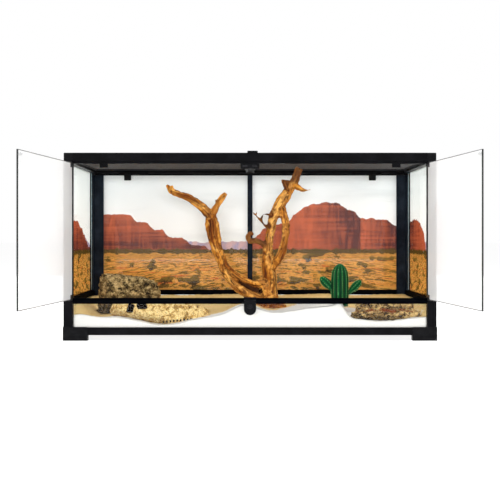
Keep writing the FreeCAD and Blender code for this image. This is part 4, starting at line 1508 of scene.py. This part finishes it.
@dataclass(frozen=True)
class Limb:
    """One limb of the branch: x, y, z from its foot and radius, in millimetres, and how brown it is; a stain
    of 1 is painted near-black as shade.
    """

    stations: Tuple[Tuple[float, float, float, float], ...]
    stain: float = 0.0

    def samples(self, foot: Vector, step: float) -> List[Sample]:
        """Follow a smooth line through the stations.

        Args:
            foot: the branch's foot.
            step: distance between samples in metres.

        Returns:
            Place, direction, radius and way along, for each sample.
        """
        places = [foot + Vector(s[:3]) * MM for s in self.stations]
        marks = [0.0]
        for a, b in zip(places, places[1:]):
            marks.append(marks[-1] + (b - a).length)
        last = len(places) - 1
        slopes = []
        for k in range(last + 1):
            a, b = max(k - 1, 0), min(k + 1, last)
            slopes.append((places[b] - places[a]) / (marks[b] - marks[a]))
        out = []
        for k in range(last):
            span = marks[k + 1] - marks[k]
            count = max(2, round(span / step))
            for i in range(count + (k == last - 1)):
                t = i / count
                p, q, m, n = places[k], places[k + 1], slopes[k] * span, slopes[k + 1] * span
                point = (p * (2 * t**3 - 3 * t**2 + 1) + m * (t**3 - 2 * t**2 + t)
                         + q * (3 * t**2 - 2 * t**3) + n * (t**3 - t**2))
                way = (p * (6 * t**2 - 6 * t) + m * (3 * t**2 - 4 * t + 1)
                       + q * (6 * t - 6 * t**2) + n * (3 * t**2 - 2 * t)).normalized()
                radius = (self.stations[k][3] * (1 - t) + self.stations[k + 1][3] * t) * MM
                out.append((point, way, radius, marks[k] + t * span))
        return out


@dataclass
class DriftwoodBranch:
    """Forked driftwood branch, fluted along the grain, with stubs and twigs.

    The waves of flutes and ridges are a scale around the limb, one along it and a shift from limb to limb.
    """

    foot_y: float = 0.180
    sides: int = 26
    step: float = 3.0 * MM
    voxel: float = 1.5 * MM
    soften: int = 2
    flute: float = 0.2
    flute_waves: Place = (1.1, 9, 11)
    ridge: float = 0.1
    ridge_waves: Place = (3.2, 16, 5)
    knob: float = 2.6 * MM
    knob_scale: float = 38.0
    gnarl: float = 1.3 * MM
    gnarl_scale: float = 120.0
    gnarl_octaves: int = 3
    gnarl_mean: float = 0.6
    gnarl_weight: float = 0.8
    grain_shift: float = 0.7
    stain_run: float = 12.0 * MM
    limbs: Tuple[Limb, ...] = (
        Limb(((47, 0, 2, 31), (47, 0, 18, 29), (47, 0, 41, 25), (50, -1, 74, 19.6), (49, -2, 108, 18),
              (47, -3, 141, 15.7), (48, -5, 168, 12), (52, -8, 201, 12.8), (57, -12, 228, 13),
              (65, -16, 254, 13.6), (78, -21, 278, 16), (94, -26, 305, 13.6), (110, -31, 331, 12.5),
              (120, -34, 351, 12), (128, -37, 371, 10.5))),
        Limb(((56, -1, 114, 11.8), (75, 2, 138, 12), (86, 2, 164, 12), (92, -2, 194, 11),
              (94, -8, 221, 10.5), (89, -14, 244, 10.5), (82, -20, 268, 11.8))),
        Limb(((102, -29, 312, 10.5), (92, -26, 334, 10), (92, -26, 342, 9.4)), 0.75),
        Limb(((112, -31, 331, 7.3), (126, -36, 321, 6.8), (140.5, -40, 314, 5), (157, -42, 316, 1.8))),
        Limb(((46, -10, 212, 3.1), (27, -16, 238, 2.9), (15, -18, 249, 2.4), (8, -20, 258, 1.8)), 0.8),
        Limb(((15, -18, 249, 2.2), (17, -19, 255, 1.9), (19, -20, 260, 1.4)), 0.8),
        Limb(((60, -15, 250, 3), (37, -15, 253, 2.8), (30, -15, 241, 2.8), (34, -15, 228, 2.8),
              (50, -12, 222, 3)), 0.8),
        Limb(((44, -5, 166, 9.4), (30, -10, 178, 8.6), (15, -14, 184, 8.4), (0, -16, 184, 7.9),
              (-4, -16, 194, 6.8), (2, -16, 203, 6), (10, -16, 199, 4)), 0.85),
        Limb(((30, -2, 31, 15.7), (7, -2, 41, 15.7), (-13, -4, 51, 14.4), (-40, -6, 71, 13),
              (-63, -9, 101, 12), (-75, -12, 134, 13.6), (-88, -15, 168, 16.2), (-95, -18, 201, 18.8),
              (-97, -20, 228, 18.3), (-100, -22, 254, 14.4))),
        Limb(((-72, -11, 134, 9), (-62, -12, 118, 8.2), (-45, -14, 102, 8), (-27, -14, 88, 8),
              (-1, -12, 76, 8), (20, -8, 72, 9.5), (38, -4, 73, 11.8))),
        Limb(((-102, -22, 248, 12.6), (-127, -20, 274.5, 11), (-157, -17, 294, 10.2), (-187, -15, 306, 9.4),
              (-204, -14, 313, 8.9), (-212, -14, 323, 6.3), (-217, -14, 329.5, 3.9))),
        Limb(((-198, -14, 311, 5), (-202, -15, 320, 3.6), (-203.6, -15, 327, 2.6))),
        Limb(((-98, -22, 248, 11.5), (-87, -26, 274.5, 8.4), (-75, -28, 291, 7.3), (-63, -30, 308, 6))),
        Limb(((50, -2, 30, 16), (75, -10, 16, 11), (93, -15, 9, 7))),
        Limb(((44, -2, 28, 15), (20, -14, 14, 11), (6, -22, 9, 8))),
        # This strand has stain 1 and is painted near-black as the shaded slit along the trunk.
        Limb(((-58, -4, 108, 4), (-40, -2, 86, 7), (-18, 0, 70, 8), (6, 2, 60, 10), (24, 2, 56, 11)), 1.0),
        Limb(((-86, -26, 277, 4), (-89, -27, 285, 3), (-90, -28, 291, 2)), 0.7),
        Limb(((94, -8, 218, 4), (103, -10, 222, 2.6), (107, -11, 224, 1.6)), 0.3),
    )

    def rings(self, samples: Sequence[Sample], number: int) -> List[List[Vector]]:
        """Give the fluted rings of one limb.

        Args:
            samples: the limb's line.
            number: the limb's number, which varies its flutes.

        Returns:
            The points of each ring.
        """
        rings = []
        for place, way, radius, along in samples:
            first, second = square_to(way)
            ring = []
            for i in range(self.sides):
                angle = 2 * math.pi * i / self.sides
                c, s = math.cos(angle), math.sin(angle)
                lobe, line = (noise.noise(Vector((around * c, around * s, run * along + apart * number)))
                              for around, run, apart in (self.flute_waves, self.ridge_waves))
                r = radius * (1 + self.flute * lobe + self.ridge * line)
                ring.append(place + first * (r * c) + second * (r * s))
            rings.append(ring)
        return rings

    def build(self) -> None:
        """Join the limbs into one skin and note the grain's direction on it."""
        foot = Vector((0.0, self.foot_y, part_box("driftwood_branch")[0].z))
        lines = [limb.samples(foot, self.step) for limb in self.limbs]
        skin = Skin()
        for number, samples in enumerate(lines):
            skin.tube(self.rings(samples, number))
        mesh = remeshed(skin.mesh("limbs"), self.voxel, self.soften)
        self.note_grain(mesh, lines)
        self.roughen(mesh)
        add_piece("driftwood", mesh, CABINET, DryWood().material(), ["driftwood_branch"])

    def roughen(self, mesh: bpy.types.Mesh) -> None:
        """Add knobs and small gnarls, and note how high each point stands.

        Args:
            mesh: the branch.
        """
        points, normals = vertices(mesh)
        relief = np.empty(len(points), np.float32)
        for i, place in enumerate(points):
            at = Vector(place)
            knob = noise.noise(at * self.knob_scale)
            gnarl = noise.turbulence(at * self.gnarl_scale, self.gnarl_octaves, False) - self.gnarl_mean
            relief[i] = knob + self.gnarl_weight * gnarl
            points[i] += normals[i] * (self.knob * knob + self.gnarl * gnarl)
        set_points(mesh, points)
        set_numbers(mesh, "relief", relief)

    def note_grain(self, mesh: bpy.types.Mesh, lines: Sequence[Sequence[Sample]]) -> None:
        """Store each point's place within its own limb, and that limb's stain.

        Args:
            mesh: the branch.
            lines: the limbs' samples.
        """
        flat = [(number, *sample) for number, line in enumerate(lines) for sample in line]
        tree = KDTree(len(flat))
        for i, sample in enumerate(flat):
            tree.insert(sample[1], i)
        tree.balance()
        places, _ = vertices(mesh)
        grain = np.empty_like(places)
        stain = np.empty(len(places), np.float32)
        for i, place in enumerate(places):
            at = Vector(place)
            number, middle, way, _, along = flat[tree.find(at)[1]]
            first, second = square_to(way)
            off = at - middle
            grain[i] = (along + off.dot(way) + self.grain_shift * number, off.dot(first), off.dot(second))
            stain[i] = self.limbs[number].stain * min(1.0, along / self.stain_run)
        set_numbers(mesh, "grain", grain)
        set_numbers(mesh, "stain", stain)


@dataclass
class Cactus:
    """Ribbed resin cactus with two paddle arms and rows of short spines."""

    voxel: float = 0.9 * MM
    bend_rounds: int = 4
    bend_percent: Span = (10, 90)
    ribs: int = 12
    stem_radius: float = 23.8 * MM
    stem_start: float = 20.0 * MM
    stem_bare: float = 32.0 * MM
    stem_off: float = 0.5 * MM
    arm_ribs: int = 7
    arm_out: Span = (-36.5 * MM, 41.3 * MM)
    arm_up: Span = (62.4 * MM, 53.9 * MM)
    arm_half: float = 20.0 * MM
    arm_radius: float = 12.5 * MM
    arm_share: Span = (0.5, 1.4)
    row_step: float = 6.0 * MM
    ray_reach: float = 2.2
    ray_facing: float = 0.2
    radius_slack: float = 1.3
    spine: float = 2.4 * MM
    spine_width: float = 0.55 * MM
    star: int = 5
    star_turn: float = 900.0
    star_lean: float = 0.9

    def crest(self, mesh: bpy.types.Mesh) -> None:
        """Store how far each point stands out from the furrows.

        Args:
            mesh: the cactus.
        """
        web = bmesh.new()
        web.from_mesh(mesh)
        bend = np.zeros(len(mesh.vertices), np.float32)
        links = []
        for v in web.verts:
            ring = [e.other_vert(v) for e in v.link_edges]
            mean = sum((near.co for near in ring), Vector()) / max(len(ring), 1)
            bend[v.index] = (v.co - mean).dot(v.normal)
            links.append([near.index for near in ring])
        web.free()
        for _ in range(self.bend_rounds):
            bend = np.array([(bend[i] + bend[near].sum()) / (1 + len(near)) for i, near in enumerate(links)])
        low, high = np.percentile(bend, self.bend_percent)
        set_numbers(mesh, "crest", np.clip((bend - low) / (high - low), 0, 1))

    def rows(self, tree: BVHTree, base: Vector, way: Vector, length: float, ribs: int,
             radius: float) -> List[Spot]:
        """Find places for spines along the ribs of one member.

        Args:
            tree: the cactus's surface.
            base: start of the member's middle line.
            way: direction of that line.
            length: its length.
            ribs: number of ribs.
            radius: the member's radius.

        Returns:
            Places and normals on the surface.
        """
        first, second = square_to(way)
        reach = self.ray_reach * self.stem_radius
        found = []
        for i in range(ribs):
            angle = math.pi * (2 * i + 1) / ribs
            out = first * math.cos(angle) + second * math.sin(angle)
            for k in range(int(length / self.row_step) + 1):
                middle = base + way * (k * self.row_step)
                place, normal = tree.ray_cast(middle + out * reach, -out, reach)[:2]
                if place is None or normal.dot(out) < self.ray_facing:
                    continue
                if (place - middle).length <= self.radius_slack * radius:
                    found.append((place, normal))
        return found

    def spines(self, spots: Sequence[Spot]) -> bpy.types.Mesh:
        """Make a small star of spines at each place.

        Args:
            spots: places and normals.

        Returns:
            The mesh.
        """
        skin = Skin()
        for place, normal in spots:
            across = normal.cross(UP).normalized()
            up = across.cross(normal)
            for turn in range(self.star):
                angle = 2 * math.pi * turn / self.star + place.z * self.star_turn
                lean = across * math.cos(angle) + up * math.sin(angle)
                corners = []
                for corner in range(3):
                    a = angle + 2 * math.pi * corner / 3
                    corners.append(place + (across * math.cos(a) + up * math.sin(a)) * self.spine_width)
                tip = place + (normal + self.star_lean * lean).normalized() * self.spine
                skin.add([*corners, tip], [(0, 1, 3), (1, 2, 3), (2, 0, 3), (2, 1, 0)])
        return skin.mesh("spines")

    def build(self) -> None:
        """Rebuild the cactus, mark its ribs and set its spines."""
        low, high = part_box("cactus")
        mesh = node_copy("cactus", self.voxel)
        self.crest(mesh)
        tree = BVHTree.FromPolygons([v.co for v in mesh.vertices], [p.vertices for p in mesh.polygons])
        add_piece("ribbed_cactus", mesh, CABINET, PaintedResin().material(), ["cactus"])
        centre = Vector(((low.x + high.x) / 2 + self.lean(), (low.y + high.y) / 2, low.z))
        tall = high.z - low.z - self.stem_bare
        spots = self.rows(tree, centre + UP * self.stem_start, UP, tall, self.ribs, self.stem_radius)
        back, length = self.arm_share
        for out, rise in zip(self.arm_out, self.arm_up):
            way = Vector((math.copysign(1, out), 0, 1)).normalized()
            start = centre + Vector((out, 0, rise)) - way * (self.arm_half * back)
            spots += self.rows(tree, start, way, length * self.arm_half, self.arm_ribs, self.arm_radius)
        add_piece("cactus_spines", self.spines(spots), CABINET, StrawSpines().material())

    def lean(self) -> float:
        """Give how far along X the stem stands from the middle of the whole cactus's box, in metres."""
        return -sum(self.arm_out) / 2 - self.stem_off


@dataclass
class Boulder:
    """A stone rebuilt in small faces, with chipped faces and pits."""

    node: str
    name: str
    finish: RoughStone
    slot: str
    voxel: float = 1.7 * MM
    chip: float = 5.5 * MM
    chip_scale: float = 30.0
    pit: float = 3.0 * MM
    pit_scale: float = 110.0
    pit_kind: Tuple[float, float, int] = (0.7, 2.1, 4)
    layer: float = 1.0

    def depth(self, place: Vector) -> float:
        """Give how deep the stone is chipped and pitted at a place.

        Args:
            place: the place.

        Returns:
            The depth in metres.
        """
        at = Vector((place.x, place.y, place.z * self.layer))
        cells = noise.voronoi(at * self.chip_scale)[0]
        facet = min(1.0, cells[1] - cells[0])
        return self.chip * (1 - facet) + self.pit * (1 + noise.fractal(at * self.pit_scale, *self.pit_kind))

    def build(self) -> None:
        """Rebuild the stone and cut its relief inward."""
        mesh = node_copy(self.node, self.voxel)
        carve(mesh, self.depth)
        add_piece(self.name, mesh, CABINET, self.finish.material(), [self.node])


@dataclass
class SkullHide:
    """Reptile skull hide in cast bone; its openings are in millimetres from the rear end and the seat."""

    voxel: float = 1.3 * MM
    slots: Tuple[Outline, ...] = (
        ((44, 31), (60, 31), (64, 50), (50, 52)), ((73, 40), (97, 41), (92, 52), (69, 51)))
    slot_floor: float = 21.0 * MM
    wall_facing: float = 0.55
    wall_grow: float = 0.7
    teeth: int = 9
    tooth_start: Span = (134.0, 3.5)
    tooth_pitch: Span = (8.6, 0.8)
    tooth_gap: Span = (3.0, 6.0)
    tooth_grow: float = 0.2
    pore: float = 0.45 * MM
    pore_scale: float = 140.0
    pore_kind: Tuple[float, float, int] = (0.8, 2.0, 4)
    seam: float = 0.9 * MM
    seam_scale: float = 34.0
    seam_narrow: float = 9.0
    shade_line: Span = (50.0, -0.2)
    shade_fade: float = 16.0
    shade_end: float = 165.0
    shade_run: float = 30.0

    def gaps(self) -> List[Outline]:
        """Set out the gaps between the teeth.

        Returns:
            The outline of each gap.
        """
        (x0, z0), (along, rise), (wide, tall) = self.tooth_start, self.tooth_pitch, self.tooth_gap
        corners = [(x0 + i * along, z0 + i * rise) for i in range(self.teeth)]
        return [((x, z), (x + wide, z), (x + wide, z + tall), (x, z + tall)) for x, z in corners]

    @staticmethod
    def within(outline: Outline, across: np.ndarray, height: np.ndarray, grow: float) -> np.ndarray:
        """Find the points inside a four-sided outline.

        Args:
            outline: its corners, turning left.
            across: the points' way along the skull.
            height: the points' height over the seat.
            grow: how far outside still counts.

        Returns:
            True for the points inside.
        """
        inside = np.ones(len(across), bool)
        for (x0, z0), (x1, z1) in zip(outline, outline[1:] + outline[:1]):
            length = math.hypot(x1 - x0, z1 - z0)
            inside &= ((x1 - x0) * (height - z0) - (z1 - z0) * (across - x0)) / length > -grow
        return inside

    def depth(self, place: Vector) -> float:
        """Give how deep the pores and seams are at a place.

        Args:
            place: the place.

        Returns:
            The depth in metres.
        """
        rough = noise.fractal(place * self.pore_scale, *self.pore_kind)
        cells = noise.voronoi(place * self.seam_scale)[0]
        crack = max(0.0, 1 - self.seam_narrow * (cells[1] - cells[0]))
        return self.pore * (1 + rough) + self.seam * crack

    def build(self) -> None:
        """Rebuild the skull, roughen it, and note its openings and the painted shade along its lower part."""
        low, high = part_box("skull_hide")
        mesh = node_copy("skull_hide", self.voxel)
        points, normals = vertices(mesh)
        across, height = (points[:, 0] - low.x) / MM, (points[:, 2] - low.z) / MM
        off = np.abs(points[:, 1] - (low.y + high.y) / 2)
        steep = np.abs(normals[:, 1]) < self.wall_facing
        # Cavity marks the inside of the eye slots and the gaps between the teeth, which the finish paints
        # near-black as painted shade.
        cavity = np.zeros(len(points), bool)
        for slot in self.slots:
            cavity |= self.within(slot, across, height, self.wall_grow) & ((off < self.slot_floor) | steep)
        for gap in self.gaps():
            cavity |= self.within(gap, across, height, self.wall_grow) & steep
            cavity |= self.within(gap, across, height, self.tooth_grow)
        carve(mesh, self.depth)
        set_numbers(mesh, "cavity", cavity)
        # Painted shade: the skull's lower part, below a sloping line near the sand, is marked to go dark,
        # fading out towards the front end.
        line = self.shade_line[0] + self.shade_line[1] * across
        rear = np.clip((self.shade_end - across) / self.shade_run, 0, 1)
        set_numbers(mesh, "low_shade", np.clip((line - height) / self.shade_fade, 0, 1) * rear)
        add_piece("skull", mesh, CABINET, CastBone().material(), ["skull_hide"])


@dataclass
class Studio:
    """White floor, soft lamps, even surround and the camera.

    Each lamp is its name, place, target, size in metres and power in watts.
    """

    floor_half: float = 40.0
    floor_grey: Colour = (0.6, 0.6, 0.6)
    floor_glow: float = 0.82
    surround: float = 0.26
    eye: Place = (0.0, -2.7945, 0.2565)
    lens: float = 81.9
    sensor: float = 36.0
    drop: float = -0.028
    sight: float = 200.0
    lamps: Tuple[Tuple[str, Place, Place, Span, float], ...] = (
        ("front", (0.0, -9.0, 0.55), (0.0, 0.2, 0.25), (3.0, 0.9), 430.0),
        ("key", (-5.0, -8.0, 0.6), (0.0, 0.2, 0.25), (3.0, 1.0), 200.0),
        ("fill", (5.0, -8.0, 0.6), (0.0, 0.2, 0.25), (3.0, 1.0), 90.0),
        ("top", (0.0, 0.2, 2.9), (0.0, 0.2, 0.2), (2.0, 2.0), 80.0),
        ("back", (0.0, 4.4, 1.1), (0.0, 0.4, 0.25), (2.4, 1.6), 88.0),
        ("left", (-4.0, 0.2, 0.7), (-0.4, 0.2, 0.25), (1.8, 1.2), 90.0),
        ("right", (4.0, 0.2, 0.7), (0.4, 0.2, 0.25), (1.8, 1.2), 90.0))

    @staticmethod
    def seen(g: Graph) -> Socket:
        """Give 1 for camera, mirror and glass rays and 0 for the rest.

        Args:
            g: the graph.

        Returns:
            The socket.
        """
        path = g.add("LightPath").outputs
        rays = g.math("MAXIMUM", path["Is Camera Ray"], path["Is Glossy Ray"])
        return g.math("MAXIMUM", rays, path["Is Transmission Ray"])

    def floor(self) -> None:
        """Lay a white floor that shows the object's shadow."""
        s = self.floor_half
        skin = Skin()
        skin.add([(-s, -s, 0), (s, -s, 0), (s, s, 0), (-s, s, 0)], [(0, 1, 2, 3)])
        mesh = skin.mesh("floor")
        g = Graph("white_floor")
        matt = g.add("BsdfDiffuse", {"Color": self.floor_grey})
        strength = g.math("MULTIPLY", self.seen(g), self.floor_glow)
        glow = g.add("Emission", {"Color": WHITE, "Strength": strength})
        both = g.add("AddShader")
        g.feed(both.inputs[0], matt.outputs[0])
        g.feed(both.inputs[1], glow.outputs[0])
        g.show(both.outputs[0])
        mesh.materials.append(g.material)
        floor = bpy.data.objects.new("floor", mesh)
        bpy.context.scene.collection.objects.link(floor)

    def world(self) -> None:
        """Set an even surround that shows as white."""
        g = Graph("surround", world=True)
        strength = g.step(self.seen(g), 0.0, 1.0, self.surround, 1.0, "LINEAR")
        g.show(g.add("Background", {"Color": WHITE, "Strength": strength}).outputs[0])
        bpy.context.scene.world = g.material

    def light(self) -> None:
        """Hang the soft lamps."""
        for name, place, target, size, power in self.lamps:
            lamp = bpy.data.lights.new(name, "AREA")
            lamp.shape = "RECTANGLE"
            lamp.size, lamp.size_y = size
            lamp.energy = power
            holder = bpy.data.objects.new(name, lamp)
            holder.location = place
            holder.rotation_euler = (Vector(target) - Vector(place)).to_track_quat("-Z", "Y").to_euler()
            holder.visible_glossy = False
            bpy.context.scene.collection.objects.link(holder)

    def camera(self) -> None:
        """Set the camera level, at the height and distance of the picture."""
        data = bpy.data.cameras.new("camera")
        data.lens = self.lens
        data.sensor_width = self.sensor
        data.shift_y = self.drop
        data.clip_end = self.sight
        eye = bpy.data.objects.new("camera", data)
        eye.location = self.eye
        eye.rotation_euler = (math.radians(90), 0.0, 0.0)
        bpy.context.scene.collection.objects.link(eye)
        bpy.context.scene.camera = eye

    def build(self) -> None:
        """Set up the whole studio."""
        self.floor()
        self.world()
        self.light()
        self.camera()
        bpy.context.scene.view_settings.view_transform = "Standard"


def stones() -> Tuple[Boulder, Boulder]:
    """Set out the two stones.

    Returns:
        The basking rock and the rock ledge.
    """
    olive = RoughStone("olive_stone", pale=tone(220, 190, 132), body=tone(136, 112, 72),
                       dark=tone(30, 25, 17), iron=tone(96, 78, 50), iron_height=(0.1, 0.006),
                       layer=(24.0, 24.0, 34.0), base_shade_height=(0.07, 0.105))
    layered = RoughStone("layered_stone", pale=tone(242, 208, 140), body=tone(158, 122, 72),
                         dark=tone(28, 20, 12), iron=tone(132, 60, 30), iron_height=(0.0715, 0.006),
                         layer=(24.0, 24.0, 90.0), grit_scale=110.0)
    return (Boulder("basking_rock", "olive_rock", olive, "rock_olive"),
            Boulder("rock_ledge", "layered_rock", layered, "rock_tan", chip=1.925 * MM, layer=1.8))


def main() -> None:
    """Build and dress the terrarium, then set up the studio."""
    logging.basicConfig(level=logging.INFO, format="%(message)s")
    CabinetFrame().dress()
    glazing = Glazing()
    glazing.dress()
    glazing.build()
    Doors().dress()
    KeyLock().dress()
    ScreenTop().build()
    CableGates().dress()
    for furnishing in (SandBed(), DriftwoodBranch(), Cactus(), *stones(), SkullHide()):
        furnishing.build()
    Studio().build()


if __name__ == "__main__":
    main()
